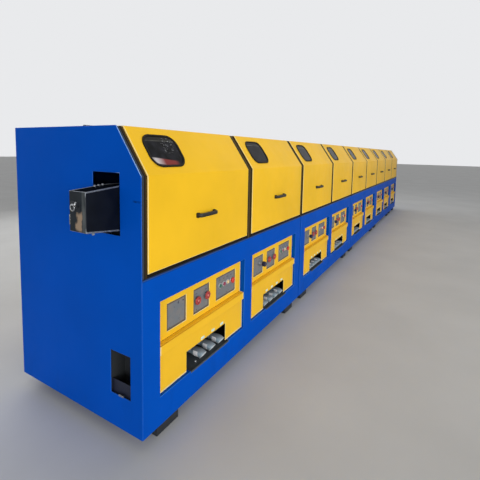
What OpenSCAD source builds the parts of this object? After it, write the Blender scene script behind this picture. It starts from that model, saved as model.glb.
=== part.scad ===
// Straight-line wire drawing machine, a row of drawing blocks on one welded base.
// X runs with the wire from the inlet end, Y from the operator's side to the back, Z up.

/* [Line] */
// Number of drawing blocks
block_count = 9; // [2:1:12]
// Distance from one block to the next
block_pitch = 1100; // [1080:10:1300]
// Blocks that stand on one base section
blocks_per_section = 2; // [1:1:3]
// Open joint between two base sections
section_joint = 3; // [2:0.5:6]
// Width of the rebate on each side of that joint
rebate_w = 9; // [5:1:20]
// Depth of the rebate
rebate_d = 30; // [15:1:40]

/* [Base] */
// Height of the feet under the base
foot_h = 75; // [50:5:120]
// Length of one foot along the line
foot_l = 180; // [100:10:240]
// Width of one foot across the line
foot_w = 110; // [80:10:200]
// Distance of the feet behind the base's front
foot_set_back = 20; // [10:5:80]
// Distance of the feet from the ends of a section
foot_end_gap = 120; // [60:10:200]
// Height of the base from its underside to the deck
base_h = 855; // [800:5:1000]
// Depth of the base from front to back
base_depth = 1100; // [1050:10:1400]
// Bevel along the deck's front edge
deck_bevel = 6; // [3:1:8]

/* [Front recess] */
// Distance of the outer recesses from the ends of a section
recess_margin = 133; // [110:1:140]
// Width of the recess
recess_w = 907; // [895:1:915]
// Height of the recess floor above the base's underside
recess_lift = 164; // [140:1:190]
// Height of the recess
recess_h = 536; // [500:1:560]
// Depth of the control panel behind the base's front
panel_set_back = 38; // [32:1:50]
// Thickness of the control panel sheet
panel_t = 4; // [3:0.5:6]
// Depth of the pipe space behind the lower cover
pipe_space_depth = 260; // [220:5:320]
// Gap round the sheets that sit in the recess
sheet_gap = 2; // [1:0.5:4]
// Gap above the control panel
panel_top_gap = 6; // [3:0.5:10]

/* [Lower cover] */
// Depth of the lower cover's face behind the base's front
cover_set_back = 18; // [12:1:24]
// Height of the shelf's rear edge above the recess floor
shelf_lift = 283; // [270:1:300]
// Fall of the shelf from its rear edge to its lip
shelf_fall = 4; // [2:1:8]
// Height of the lip
lip_h = 52; // [40:1:80]
// Distance of the lip in front of the lower cover's face
lip_proud = 13; // [10:1:16]
// Width of the groove behind the lip
groove_w = 6; // [4:0.5:8]
// Depth of the groove
groove_d = 9; // [6:1:10]
// Sheet thickness of the lower cover
cover_t = 3; // [2:0.5:4]
// Depth of the folded side edges behind the cover's face
cover_return = 24; // [15:1:34]
// Distance of the pipe notch from the recess's left side
notch_x = 244; // [240:1:255]
// Width of the pipe notch
notch_w = 430; // [420:2:440]
// Height of the pipe notch above the recess floor
notch_h = 129; // [120:1:136]

/* [Pipes] */
// Outer diameter of a coolant pipe
pipe_d = 38; // [34:1:42]
// Outer diameter of the elbow on a pipe's end
elbow_d = 46; // [44:1:48]
// Length of the elbow's straight socket behind its bend
elbow_l = 39; // [30:1:60]
// Bend radius of the elbow at its centre line
elbow_r = 30; // [28:1:34]
// Outer diameter of the collars at the elbow's ends
collar_d = 52; // [50:1:56]
// Length of a collar
collar_l = 8; // [6:1:12]
// Height of the elbow's outlet above the trough's floor
outlet_gap = 2; // [1:0.5:6]
// Clearance between an outlet's collar and the trough's front wall
collar_gap = 1; // [1:0.5:6]
// Distance of the first pipe from the notch's left side
pipe_first = 79; // [70:1:84]
// Distance from one pipe to the next
pipe_pitch = 105; // [90:1:106]
// Distance of the pit under the pipes from the recess's left side
pit_x = 268; // [255:1:272]
// Width of the pit
pit_w = 430; // [425:1:440]
// Depth of the pit below the recess floor
pit_drop = 13; // [13:1:20]
// Distance of the drain trough in the pit behind the base's front
trough_set_back = 1; // [0.5:0.5:3]
// Height of the drain trough
trough_h = 12; // [8:1:12]
// Wall thickness of the drain trough
trough_t = 2; // [1.5:0.5:3]

/* [Instrument plates] */
// Thickness of an instrument plate
plate_t = 2; // [1:0.5:4]
// Overlap of a plate behind its cut-out in the control panel
plate_lap = 9; // [5:1:12]
// Height of a plate's cut-out
plate_h = 160; // [140:5:170]
// Distance of the cut-outs above the shelf
plate_lift = 36; // [18:1:40]
// Distance of the regulator plate from the recess's left side
regulator_plate_x = 93; // [80:1:110]
// Width of the regulator plate
regulator_plate_w = 168; // [150:1:190]
// Distance of the valve plate from the recess's left side
valve_plate_x = 335; // [320:1:345]
// Width of the valve plate
valve_plate_w = 165; // [150:1:180]
// Distance of the button plate from the recess's left side
button_plate_x = 582; // [570:1:590]
// Width of the button plate
button_plate_w = 248; // [240:1:260]

/* [Hand controls] */
// Height of the regulator and the buttons above the shelf
control_lift = 127; // [110:1:140]
// Height of the valve wheels above the shelf
wheel_lift = 121; // [110:1:140]
// Middle radius of a valve wheel's rim
wheel_r = 23; // [20:1:30]
// Thickness of the rim
wheel_rim_d = 9; // [6:1:10]
// Distance of the rim in front of its plate
wheel_proud = 17; // [15:1:34]
// Diameter of a valve stem
stem_d = 9; // [7:1:12]
// Diameter of the gland round a valve stem
gland_d = 18; // [14:1:24]
// Height of the gland
gland_h = 8; // [4:1:12]
// Diameter of a wheel's hub
hub_d = 16; // [14:1:20]
// Diameter of a wheel's spokes
spoke_d = 5; // [4:0.5:7]
// Distance between the two valve wheels
wheel_pitch = 101; // [85:1:105]
// Distance between push-buttons
button_pitch = 48; // [46:1:52]
// Diameter of a push-button's ring
button_d = 36; // [32:1:40]
// Height of the ring
button_ring_h = 5; // [3:0.5:8]
// Diameter of a push-button's cap
button_cap_d = 25; // [20:1:28]
// Height of a push-button
button_h = 13; // [10:1:22]
// Diameter of the stop button's mushroom head
stop_d = 42; // [36:1:44]
// Height of the stop button
stop_h = 26; // [24:1:40]
// Thickness of the mushroom head
stop_head_h = 12; // [10:1:18]
// Bevel round the mushroom head
stop_bevel = 4; // [2:0.5:6]
// Diameter of the stop button's ring
stop_ring_d = 36; // [32:1:40]
// Height of the stop button's ring
stop_ring_h = 6; // [5:1:12]
// Diameter of the stop button's stem
stop_stem_d = 20; // [14:1:24]
// Distance of the regulator from the left edge of its plate's cut-out
regulator_x = 114; // [90:2:130]
// Diameter of the regulator knob
regulator_d = 42; // [34:1:48]
// Length of the regulator knob
regulator_knob_l = 29; // [20:1:34]
// Diameter of the regulator's body
regulator_body_d = 34; // [30:1:38]
// Length of the regulator's body
regulator_body_l = 20; // [12:1:26]
// Diameter of the regulator's neck
regulator_neck_d = 25; // [18:1:28]
// Length of the regulator in front of its plate
regulator_l = 58; // [54:1:64]

/* [Hoods] */
// Height of the rubber gasket under the hoods
gasket_h = 20; // [12:1:30]
// Width of the gasket
gasket_w = 20; // [14:1:26]
// Height of a hood's upright front
hood_front_h = 500; // [460:5:560]
// Height of the sloping front above it
slope_h = 250; // [200:5:300]
// Set-back of the slope's upper edge
slope_set_back = 174; // [140:2:220]
// Depth of a hood from its front to its hinges
hood_depth = 640; // [600:5:700]
// Sheet thickness of a hood
hood_t = 4; // [3:0.5:5]
// Depth of a hood's folded side and roof edges
hood_edge = 40; // [30:1:48]
// Depth of a hood's folded lower edge
hood_foot_edge = 30; // [20:1:40]
// Distance of the first and last hood from the line's ends
end_space = 46; // [40:1:60]
// Clear width between two hoods
hood_space = 70; // [66:1:80]
// Clearance at rest between a hood and its gasket
seat_gap = 0.3; // [0.2:0.1:0.5]

/* [Frames between the hoods] */
// Depth of a frame's bars
rib_depth = 50; // [40:1:70]
// Set-back of a frame behind the hood's face
rib_set_back = 7; // [4:1:12]
// Width of a rubber seal beside a frame
seal_w = 14; // [10:1:16]
// Clearance between a seal and the hood beside it
seal_gap = 5; // [5:0.5:8]
// Thickness of the rubber seal
seal_t = 12; // [8:1:16]
// Set-back of the rubber seal behind the hood's face
seal_set_back = 3; // [1:1:6]

/* [Window] */
// Distance of the window's middle from the block's start
window_x = 257; // [240:1:300]
// Width of the window opening
window_w = 258; // [220:1:280]
// Height of the window opening along the slope
window_h = 197; // [180:1:210]
// Corner radius of the window opening
window_r = 65; // [40:1:80]
// Width of the rubber surround outside the opening
surround_out = 8; // [6:1:18]
// Overlap of the rubber surround on the glass
surround_in = 6; // [4:1:12]
// Thickness of the rubber surround
surround_t = 5; // [4:1:10]
// Clearance round the glass
glass_gap = 0.5; // [0.3:0.1:1]

/* [Handle] */
// Distance of the handle's middle from the block's start
handle_x = 532; // [500:2:580]
// Height of the handle above the hood's lower edge
handle_lift = 246; // [220:2:300]
// Length of the handle
handle_l = 190; // [150:5:220]
// Distance of the handle's outer face in front of the hood
handle_proud = 38; // [34:1:50]
// Thickness of the handle's grip
grip_t = 13; // [10:1:15]
// Height of the handle's section
grip_h = 24; // [16:1:30]
// Length of a handle's foot along the hood
handle_foot = 30; // [24:1:36]

/* [Hinges] */
// Diameter of a hinge barrel
barrel_d = 22; // [20:1:28]
// Diameter of a hinge pin
pin_d = 12; // [10:0.5:14]
// Radial clearance of the pin in the hood's barrel
pin_gap = 0.1; // [0.05:0.05:0.3]
// Length of the barrel on the hood
barrel_l = 60; // [50:1:80]
// Length of each fixed barrel beside it
fixed_barrel_l = 30; // [20:1:40]
// End clearance between barrels
barrel_gap = 0.5; // [0.3:0.1:1]
// Distance of a hinge from the hood's ends
hinge_inset = 190; // [150:5:250]
// Gap between the hood and the fixed roof
roof_gap = 16; // [12:1:24]
// Length of a hinge leaf across the sheet
leaf_l = 34; // [28:1:45]
// Thickness of a hinge leaf
leaf_t = 5; // [4:0.5:6]

/* [Housing at the back] */
// Sheet thickness of the fixed roof and back wall
housing_t = 4; // [3:0.5:6]
// Thickness of a back cover plate
back_cover_t = 3; // [2:0.5:5]
// Margin round a back cover plate
back_cover_margin = 70; // [50:5:110]

/* [End panels] */
// Thickness of an end panel
end_t = 6; // [4:1:8]
// Front edge of the upper opening
port_y = 152; // [145:1:160]
// Width of the upper opening
port_w = 207; // [200:1:215]
// Height of the upper opening's lower edge above the deck
port_lift = 206; // [200:1:220]
// Height of the upper opening
port_h = 323; // [310:1:335]
// Front edge of the lower opening
hatch_y = 85; // [75:1:95]
// Width of the lower opening
hatch_w = 152; // [140:1:165]
// Height of the lower opening's lower edge above the base's underside
hatch_lift = 187; // [180:1:200]
// Height of the lower opening
hatch_h = 242; // [230:1:250]
// Depth of the space behind the lower opening
hatch_depth = 110; // [80:1:120]
// Clearance of that space round the opening
hatch_margin = 8; // [4:1:12]

/* [Inlet box] */
// Length of the inlet box outside the end panel
inlet_out = 192; // [160:1:210]
// Length of the inlet box inside the end panel
inlet_in = 150; // [120:1:170]
// Clearance of the inlet box in front, in the upper opening
inlet_gap = 5; // [3:1:8]
// Width of the inlet box
inlet_w = 120; // [100:1:190]
// Height of the inlet box at the end panel
inlet_h = 232; // [215:1:240]
// Height of the inlet box above the opening's lower edge
inlet_lift = 27; // [20:1:30]
// Fall of the inlet box's upper edge towards its outer end
inlet_fall = 16; // [0:1:30]
// Rise of the inlet box's underside towards its outer end
inlet_rise = 21; // [0:1:30]
// Sheet thickness of the inlet box
inlet_t = 5; // [4:1:8]
// Width of the flanges along the inlet box's front edges
inlet_flange = 4; // [2:0.5:4]
// Width of the post that carries the inlet box
inlet_post = 78; // [60:1:90]
// Diameter of the wire guide roller's flanges
roller_d = 46; // [36:1:56]
// Diameter of the roller between its flanges
roller_core_d = 28; // [20:1:34]
// Thickness of the roller's flanges
roller_flange_t = 4; // [3:0.5:6]
// Length of the wire guide roller
roller_l = 22; // [16:1:30]
// Distance of the roller from the inlet box's front
roller_y = 57; // [50:1:120]
// Height of the roller above the inlet box's underside
roller_z = 137; // [100:1:170]

/* [Drawing drums] */
// Distance of a drum's axis from the block's start
drum_x = 560; // [540:5:600]
// Distance of a drum's axis from the base's front
drum_y = 560; // [540:5:600]
// Radius of a drum's working face at its foot
drum_r = 290; // [260:5:300]
// Radius of a drum's lower flange
drum_flange_r = 325; // [310:5:335]
// Thickness of that flange
drum_flange_t = 20; // [12:1:30]
// Height of the sloping foot above the flange
drum_foot_h = 40; // [25:1:60]
// Width of the sloping foot
drum_foot_w = 10; // [6:1:16]
// Height of the working face
drum_face_h = 170; // [120:5:220]
// Taper of the working face over its height
drum_taper = 8; // [4:1:14]
// Width of the step above the working face
drum_step_w = 22; // [14:1:30]
// Height of the step
drum_step_h = 30; // [20:1:40]
// Height of the drum's crown above the step
drum_crown_h = 46; // [30:1:60]
// Radius of the cap on the crown
drum_cap_r = 60; // [40:2:80]
// Height of the cap
drum_cap_h = 22; // [14:1:30]
// Radius of the spindle housing under a drum
spindle_r = 210; // [160:5:240]
// Height of the spindle housing
spindle_h = 24; // [15:1:40]

/* [Die boxes] */
// Distance of a die box from the block's start
die_x = 62; // [55:1:75]
// Distance of a die box from the base's front
die_y = 215; // [205:5:225]
// Length of a die box
die_l = 130; // [110:5:140]
// Width of a die box
die_w = 120; // [100:5:130]
// Height of a die box
die_h = 110; // [90:5:130]
// Height of a die box's floor above the deck
die_lift = 140; // [100:5:180]
// Wall thickness of a die box
die_t = 8; // [6:1:10]
// Width of the pedestal under a die box
die_post = 74; // [50:2:90]

/* [Hidden] */

yellow = "#fcc82a";
blue = "#0048a8";
dark = "#2e3033";

line_l = block_count * block_pitch;
deck_z = foot_h + base_h;
hood_z = deck_z + gasket_h;
knee_z = hood_z + hood_front_h;
top_z = knee_z + slope_h;
slope_a = atan2(slope_h, slope_set_back);
slope_l = sqrt(slope_h * slope_h + slope_set_back * slope_set_back);
recess_z = foot_h + recess_lift;
shelf_z = recess_z + shelf_lift;
plate_y = panel_set_back + panel_t;
control_z = shelf_z + control_lift;
wheel_z = shelf_z + wheel_lift;
pit_z = recess_z - pit_drop;
elbow_y = trough_set_back + trough_t + collar_gap + collar_d / 2 + elbow_r;
pipe_z = pit_z + trough_t + outlet_gap + collar_l / 4 + elbow_r;
hinge_y = hood_depth + roof_gap / 2;
hinge_z = top_z + barrel_d / 2;
front_reach = handle_proud;
back_reach = base_depth + back_cover_t;
gasket_set_back = deck_bevel + 2;

// The model's origin is the middle of its footprint on the floor
origin_x = (line_l - inlet_out - roller_l) / 2;
origin_y = (back_reach - front_reach) / 2;

function section_count() = ceil(block_count / blocks_per_section);

// Start of base section n, inside the end panels and half a joint from its neighbour
function section_start(n) =
    n == 1 ? end_t : (n - 1) * blocks_per_section * block_pitch + section_joint / 2;
function section_end(n) =
    n == section_count() ? line_l - end_t : n * blocks_per_section * block_pitch - section_joint / 2;

// Side outline of the hoods, moved inwards by inset, from height bottom to depth back
function hood_line(inset, bottom, back) = [
    [inset, bottom],
    [inset, knee_z - inset * tan(45 - slope_a / 2)],
    [slope_set_back + inset * tan(slope_a / 2), top_z - inset],
    [back, top_z - inset]
];
function reversed(points) = [for (i = [len(points) - 1 : -1 : 0]) points[i]];
function hood_band(outer, inner, bottom, back) =
    concat(hood_line(outer, bottom, back), reversed(hood_line(inner, bottom, back)));

// The first block has no pipe in the first of the four places
function first_pipe(block) = block == 1 ? 1 : 0;

function section_of(block) = ceil(block / blocks_per_section);
function blocks_in(n) = min(n * blocks_per_section, block_count) - (n - 1) * blocks_per_section;

// Left side of a block's recess: margins at the section's ends and equal posts between,
// or in the middle of a section with one block
function recess_x(block) =
    let (n = section_of(block), m = blocks_in(n), start = (n - 1) * blocks_per_section)
    m == 1
        ? start * block_pitch + (block_pitch - recess_w) / 2
        : start * block_pitch + recess_margin
            + (block - start - 1) * (m * block_pitch - 2 * recess_margin - recess_w) / (m - 1);

// Left and right side of hood n, and of the seals beside it
function hood_start(n) = (n - 1) * block_pitch + (n == 1 ? end_space : hood_space / 2);
function hood_end(n) = n * block_pitch - (n == block_count ? end_space : hood_space / 2);
function seals_start(n) = hood_start(n) - seal_gap - seal_w;
function seals_end(n) = hood_end(n) + seal_gap + seal_w;

module placed() {
    translate([-origin_x, -origin_y, 0]) children();
}

// Child outline in Y and Z, extruded along X from x
module along_x(x, length) {
    translate([x, 0, 0]) rotate([90, 0, 90]) linear_extrude(length) children();
}

// Child drawn upright on a front plane at depth y, with its own Z pointing at the operator
module on_front(x, y, z) {
    translate([x, y, z]) rotate([90, 0, 0]) children();
}

// Child drawn on the hoods' sloping face, with its own Z pointing outwards
module on_slope(x, along) {
    translate([x, along * cos(slope_a), knee_z + along * sin(slope_a)]) rotate([slope_a, 0, 0]) children();
}

module for_each_block(first = 1) {
    for (block = [first : block_count]) translate([(block - 1) * block_pitch, 0, 0]) children();
}

// Children drawn from the left side of each block's recess
module for_each_recess(first = 1) {
    for (block = [first : block_count]) translate([recess_x(block), 0, 0]) children();
}

module round_rect(w, h, r) {
    square([w - 2 * r, h], center = true);
    square([w, h - 2 * r], center = true);
    for (sx = [-1, 1], sy = [-1, 1]) translate([sx * (w / 2 - r), sy * (h / 2 - r)]) circle(r, $fn = 64);
}

module base_section(n) {
    x0 = section_start(n);
    x1 = section_end(n);
    first = (n - 1) * blocks_per_section + 1;
    last = min(n * blocks_per_section, block_count);
    color(blue) placed() difference() {
        along_x(x0, x1 - x0) polygon([
            [0, foot_h], [0, deck_z - deck_bevel], [deck_bevel, deck_z],
            [base_depth, deck_z], [base_depth, foot_h]
        ]);
        for (block = [first : last]) translate([recess_x(block), 0, 0]) recess_cut();
        if (n == 1) hatch_space();
        if (n > 1) rebate_cut(x0 - 1);
        if (n < section_count()) rebate_cut(x1 - rebate_w);
    }
}

// Upright rebate in the front corner beside a section joint
module rebate_cut(x) {
    translate([x, -1, foot_h - 1]) cube([rebate_w + 1, rebate_d + 1, base_h + 2]);
}

// Stepped recess: shallow behind the control panel, deep behind the lower cover, with a pit
// under the pipes that runs out through the front
module recess_cut() {
    translate([0, -1, recess_z]) cube([recess_w, panel_set_back + panel_t + plate_t + 1, recess_h]);
    translate([0, -1, recess_z]) cube([recess_w, pipe_space_depth + 1, shelf_lift - cover_t]);
    translate([pit_x, -1, pit_z]) cube([pit_w, pipe_space_depth + 1, pit_drop + 1]);
}

module hatch_space() {
    translate([0, hatch_y - hatch_margin, foot_h + hatch_lift - hatch_margin])
        cube([hatch_depth, hatch_w + 2 * hatch_margin, hatch_h + 2 * hatch_margin]);
}

module feet() {
    color(dark) placed() for (n = [1 : section_count()]) {
        for (x = [section_start(n) + foot_end_gap, section_end(n) - foot_end_gap - foot_l])
            for (y = [foot_set_back, base_depth - foot_set_back - foot_w])
                translate([x, y, 0]) cube([foot_l, foot_w, foot_h]);
    }
}

module deck_gaskets() {
    color(dark) placed() for (n = [1 : block_count]) translate([hood_start(n), gasket_set_back, deck_z])
        cube([hood_end(n) - hood_start(n), gasket_w, gasket_h - seat_gap]);
}

// End sheet from the feet to the roof, with the sloping front corner
module end_sheet(x) {
    along_x(x, end_t) polygon(concat(
        [[0, foot_h]], hood_line(0, deck_z, base_depth), [[base_depth, foot_h]]
    ));
}

module port_cut(x) {
    translate([x, port_y, deck_z + port_lift]) cube([end_t + 2, port_w, port_h]);
}

module near_end_panel() {
    color(blue) placed() difference() {
        end_sheet(0);
        port_cut(-1);
        translate([-1, hatch_y, foot_h + hatch_lift]) cube([end_t + 2, hatch_w, hatch_h]);
    }
}

module far_end_panel() {
    color(blue) placed() difference() {
        end_sheet(line_l - end_t);
        port_cut(line_l - end_t - 1);
    }
}

// One frame on each block boundary, between the seals, and one beside each end panel
module rib_frames() {
    color("#6b6a4c") placed() for (n = [0 : block_count]) {
        x0 = n == 0 ? end_t : seals_end(n);
        x1 = n == block_count ? line_l - end_t : seals_start(n + 1);
        along_x(x0, x1 - x0)
            polygon(hood_band(rib_set_back, rib_set_back + rib_depth, deck_z, base_depth - housing_t));
    }
}

module rib_seals() {
    color(dark) placed() for (n = [1 : block_count]) {
        seal(seals_start(n));
        seal(seals_end(n) - seal_w);
    }
}

module seal(x) {
    along_x(x, seal_w) polygon(hood_band(seal_set_back, seal_set_back + seal_t, deck_z, hood_depth));
}

// Fixed roof and back wall over each base section
module back_housing() {
    roof_y = hood_depth + roof_gap;
    color(yellow) placed() for (n = [1 : section_count()])
        along_x(section_start(n), section_end(n) - section_start(n)) polygon([
            [roof_y, top_z], [base_depth, top_z], [base_depth, deck_z],
            [base_depth - housing_t, deck_z], [base_depth - housing_t, top_z - housing_t],
            [roof_y, top_z - housing_t]
        ]);
}

module back_covers() {
    color(blue) placed() for_each_block()
        translate([back_cover_margin, base_depth, foot_h + back_cover_margin])
            cube([block_pitch - 2 * back_cover_margin, back_cover_t, base_h - 2 * back_cover_margin]);
}

// Left side and width of the three plate cut-outs, from the recess's left side
function plates() = [
    [regulator_plate_x, regulator_plate_w],
    [valve_plate_x, valve_plate_w],
    [button_plate_x, button_plate_w]
];

module control_panels() {
    color(yellow) placed() for_each_recess() difference() {
        translate([sheet_gap, panel_set_back, shelf_z])
            cube([recess_w - 2 * sheet_gap, panel_t, recess_h - shelf_lift - panel_top_gap]);
        for (plate = plates()) translate([plate[0], panel_set_back - 1, shelf_z + plate_lift])
            cube([plate[1], panel_t + 2, plate_h]);
    }
}

module instrument_plates() {
    color("#8a888c") placed() for_each_recess() for (plate = plates())
        translate([plate[0] - plate_lap, plate_y, shelf_z + plate_lift - plate_lap])
            cube([plate[1] + 2 * plate_lap, plate_t, plate_h + 2 * plate_lap]);
}

// Pressure regulator: body, neck and knob, on every block but the first
module regulators() {
    x = regulator_plate_x + regulator_x;
    color("#1d2130") placed() for_each_recess(2) on_front(x, plate_y, control_z) {
        cylinder(d = regulator_body_d, h = regulator_body_l, $fn = 48);
        cylinder(d = regulator_neck_d, h = regulator_l - regulator_knob_l, $fn = 48);
        translate([0, 0, regulator_l - regulator_knob_l])
            cylinder(d = regulator_d, h = regulator_knob_l, $fn = 48);
    }
}

module valve_wheel() {
    cylinder(d = stem_d, h = wheel_proud, $fn = 32);
    cylinder(d = gland_d, h = gland_h, $fn = 32);
    translate([0, 0, wheel_proud]) {
        rotate_extrude($fn = 48) translate([wheel_r, 0]) circle(d = wheel_rim_d, $fn = 24);
        cylinder(d = hub_d, h = wheel_rim_d, center = true, $fn = 32);
        for (spoke = [0 : 120 : 240]) rotate([0, 90, spoke]) cylinder(d = spoke_d, h = wheel_r, $fn = 24);
    }
}

module valve_wheels() {
    x = valve_plate_x + valve_plate_w / 2;
    color("#c8302c") placed() for_each_recess() for (side = [-1, 1])
        on_front(x + side * wheel_pitch / 2, plate_y, wheel_z) valve_wheel();
}

// X of place i in the row of four that stands in the middle of the button plate
function button_x(i) = button_plate_x + button_plate_w / 2 + (i - 1.5) * button_pitch;

// Three ring-mounted push-buttons
module push_buttons() {
    color("silver") placed() for_each_recess() for (i = [0 : 2])
        on_front(button_x(i), plate_y, control_z) {
            cylinder(d = button_d, h = button_ring_h, $fn = 48);
            cylinder(d = button_cap_d, h = button_h, $fn = 48);
        }
}

// Mushroom button in the row's last place
module stop_buttons() {
    color("#c8302c") placed() for_each_recess() on_front(button_x(3), plate_y, control_z) {
        cylinder(d = stop_ring_d, h = stop_ring_h, $fn = 48);
        cylinder(d = stop_stem_d, h = stop_h - stop_head_h, $fn = 48);
        translate([0, 0, stop_h - stop_head_h])
            cylinder(d = stop_d, h = stop_head_h - stop_bevel, $fn = 48);
        translate([0, 0, stop_h - stop_bevel])
            cylinder(d1 = stop_d, d2 = stop_d - 2 * stop_bevel, h = stop_bevel, $fn = 48);
    }
}

// Folded sheet with a sloping shelf, a groove, a proud lip and a face in the recess
module lower_covers() {
    lip_z = shelf_z - shelf_fall;
    lip_low = lip_z - lip_h;
    low = recess_z + sheet_gap;
    face = cover_set_back;
    lip = cover_set_back - lip_proud;
    groove = lip + cover_t + groove_w;
    w = recess_w - 2 * sheet_gap;
    color(yellow) placed() for_each_recess() difference() {
        union() {
            along_x(sheet_gap, w) polygon([
                [panel_set_back, shelf_z], [groove, lip_z + cover_t], [groove, lip_z - groove_d],
                [lip + cover_t, lip_z - groove_d], [lip + cover_t, lip_z], [lip, lip_z], [lip, lip_low],
                [face, lip_low], [face, low], [face + cover_t, low], [face + cover_t, lip_low + cover_t],
                [lip + cover_t, lip_low + cover_t], [lip + cover_t, lip_z - groove_d - cover_t],
                [groove + cover_t, lip_z - groove_d - cover_t], [groove + cover_t, lip_z],
                [panel_set_back, shelf_z - cover_t]
            ]);
            for (edge = [sheet_gap, sheet_gap + w - cover_t]) along_x(edge, cover_t) polygon([
                [panel_set_back, shelf_z], [groove, lip_z + cover_t], [groove, lip_z - groove_d],
                [lip + cover_t, lip_z - groove_d], [lip + cover_t, lip_z], [lip, lip_z], [lip, lip_low],
                [face, lip_low], [face, low], [face + cover_return, low],
                [face + cover_return, lip_low], [panel_set_back, shelf_z - cover_t]
            ]);
        }
        translate([notch_x, face - 1, low - 1]) cube([notch_w, cover_return, notch_h - sheet_gap + 1]);
    }
}

// Pipe from the back of the recess into the socket of an elbow that turns down into the trough
module coolant_pipe() {
    rotate([-90, 0, 0]) {
        cylinder(d = elbow_d, h = elbow_l, $fn = 48);
        translate([0, 0, elbow_l - collar_l]) cylinder(d = collar_d, h = collar_l, $fn = 48);
        translate([0, 0, elbow_l - collar_l / 2])
            cylinder(d = pipe_d, h = pipe_space_depth - elbow_y - elbow_l + collar_l / 2, $fn = 48);
    }
    translate([0, 0, -elbow_r]) rotate([0, -90, 0]) rotate([0, 0, -90])
        rotate_extrude(angle = 90, $fn = 96) translate([elbow_r, 0]) circle(d = elbow_d, $fn = 48);
    translate([0, -elbow_r, -elbow_r - collar_l / 4]) cylinder(d = collar_d, h = collar_l, $fn = 48);
}

module coolant_pipes() {
    color("#8d99a2") placed() for (block = [1 : block_count], i = [first_pipe(block) : 3])
        translate([recess_x(block) + notch_x + pipe_first + i * pipe_pitch, elbow_y, pipe_z])
            coolant_pipe();
}

module drain_troughs() {
    l = pit_w - 2 * sheet_gap;
    w = pipe_space_depth - trough_set_back - sheet_gap;
    inner = [l - 2 * trough_t, w - 2 * trough_t, trough_h];
    color(dark) placed() for_each_recess() translate([pit_x + sheet_gap, trough_set_back, pit_z])
        difference() {
            cube([l, w, trough_h]);
            translate([trough_t, trough_t, trough_t]) cube(inner);
        }
}

// Open-topped box through the near end's upper opening, tapered outside it, on a post inside
module inlet_box() {
    y = port_y + inlet_gap;
    z = deck_z + port_lift + inlet_lift;
    inner_w = inlet_w - 2 * inlet_t;
    color("#3b3f45") placed() {
        difference() {
            inlet_slice(y, inlet_w) inlet_outline(0, inlet_h);
            inlet_slice(y + inlet_t, inner_w) inlet_outline(inlet_t, 2 * inlet_h);
        }
        for (edge = [0, inlet_h - inlet_t]) inlet_slice(y - inlet_flange, inlet_flange + inlet_t)
            inlet_edge(edge, edge > 0 ? -inlet_fall : inlet_rise);
        translate([end_space, y + inlet_t, deck_z]) cube([inlet_post, inner_w, z - deck_z + inlet_t]);
    }
}

// Child outline in X and Z above the inlet box's underside, extruded along Y from y
module inlet_slice(y, w) {
    translate([0, y + w, deck_z + port_lift + inlet_lift]) rotate([90, 0, 0]) linear_extrude(w) children();
}

// Side outline of the inlet box, moved inwards by inset at its floor and ends, up to height top
module inlet_outline(inset, top) {
    polygon([
        [-inlet_out + inset, inlet_rise + inset], [0, inset], [inlet_in - inset, inset],
        [inlet_in - inset, top], [0, top], [-inlet_out + inset, top - inlet_fall]
    ]);
}

// Strip along the upper or lower edge outside the end panel, where the outer end moves by shift
module inlet_edge(z, shift) {
    polygon([[-inlet_out, z + shift], [0, z], [0, z + inlet_t], [-inlet_out, z + shift + inlet_t]]);
}

// Wire guide roller on its bracket, on the inlet box's outer end
module inlet_roller() {
    y = port_y + inlet_gap + roller_y;
    z = deck_z + port_lift + inlet_lift + roller_z;
    color("silver") placed() translate([-inlet_out, y, z]) rotate([0, -90, 0]) {
        cylinder(d = roller_d, h = roller_flange_t, $fn = 48);
        cylinder(d = roller_core_d, h = roller_l, $fn = 48);
        translate([0, 0, roller_l - roller_flange_t]) cylinder(d = roller_d, h = roller_flange_t, $fn = 48);
    }
}

// Spindle housing, lower flange, tapered working face, crown and cap, as one revolve
module drawing_drums() {
    flange_z = spindle_h + drum_flange_t;
    foot_z = flange_z + drum_foot_h;
    face_z = foot_z + drum_face_h;
    crown_r = drum_r - drum_taper - drum_step_w;
    crown_z = face_z + drum_step_h + drum_crown_h;
    color("silver") placed() for_each_block() translate([drum_x, drum_y, deck_z])
        rotate_extrude($fn = 96) polygon([
            [0, 0], [spindle_r, 0], [spindle_r, spindle_h], [drum_flange_r, spindle_h],
            [drum_flange_r, flange_z], [drum_r + drum_foot_w, flange_z], [drum_r, foot_z],
            [drum_r - drum_taper, face_z], [crown_r, face_z + drum_step_h], [crown_r, crown_z],
            [drum_cap_r, crown_z], [drum_cap_r, crown_z + drum_cap_h], [0, crown_z + drum_cap_h]
        ]);
}

// Open-topped die box on its pedestal, on every block but the first
module die_boxes() {
    post_x = (die_l - die_post) / 2;
    post_y = (die_w - die_post) / 2;
    color("#3b3f45") placed() for_each_block(2) translate([die_x, die_y, deck_z]) {
        translate([post_x, post_y, 0]) cube([die_post, die_post, die_lift + die_t]);
        translate([0, 0, die_lift]) difference() {
            cube([die_l, die_w, die_h]);
            translate([die_t, die_t, die_t]) cube([die_l - 2 * die_t, die_w - 2 * die_t, die_h]);
        }
    }
}

// X of the two hinges' middles, from the block's start
function hinge_xs() = [hood_space / 2 + hinge_inset, block_pitch - hood_space / 2 - hinge_inset];

module barrel(x, length, d) {
    translate([x, hinge_y, hinge_z]) rotate([0, 90, 0]) cylinder(d = d, h = length, $fn = 48);
}

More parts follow.
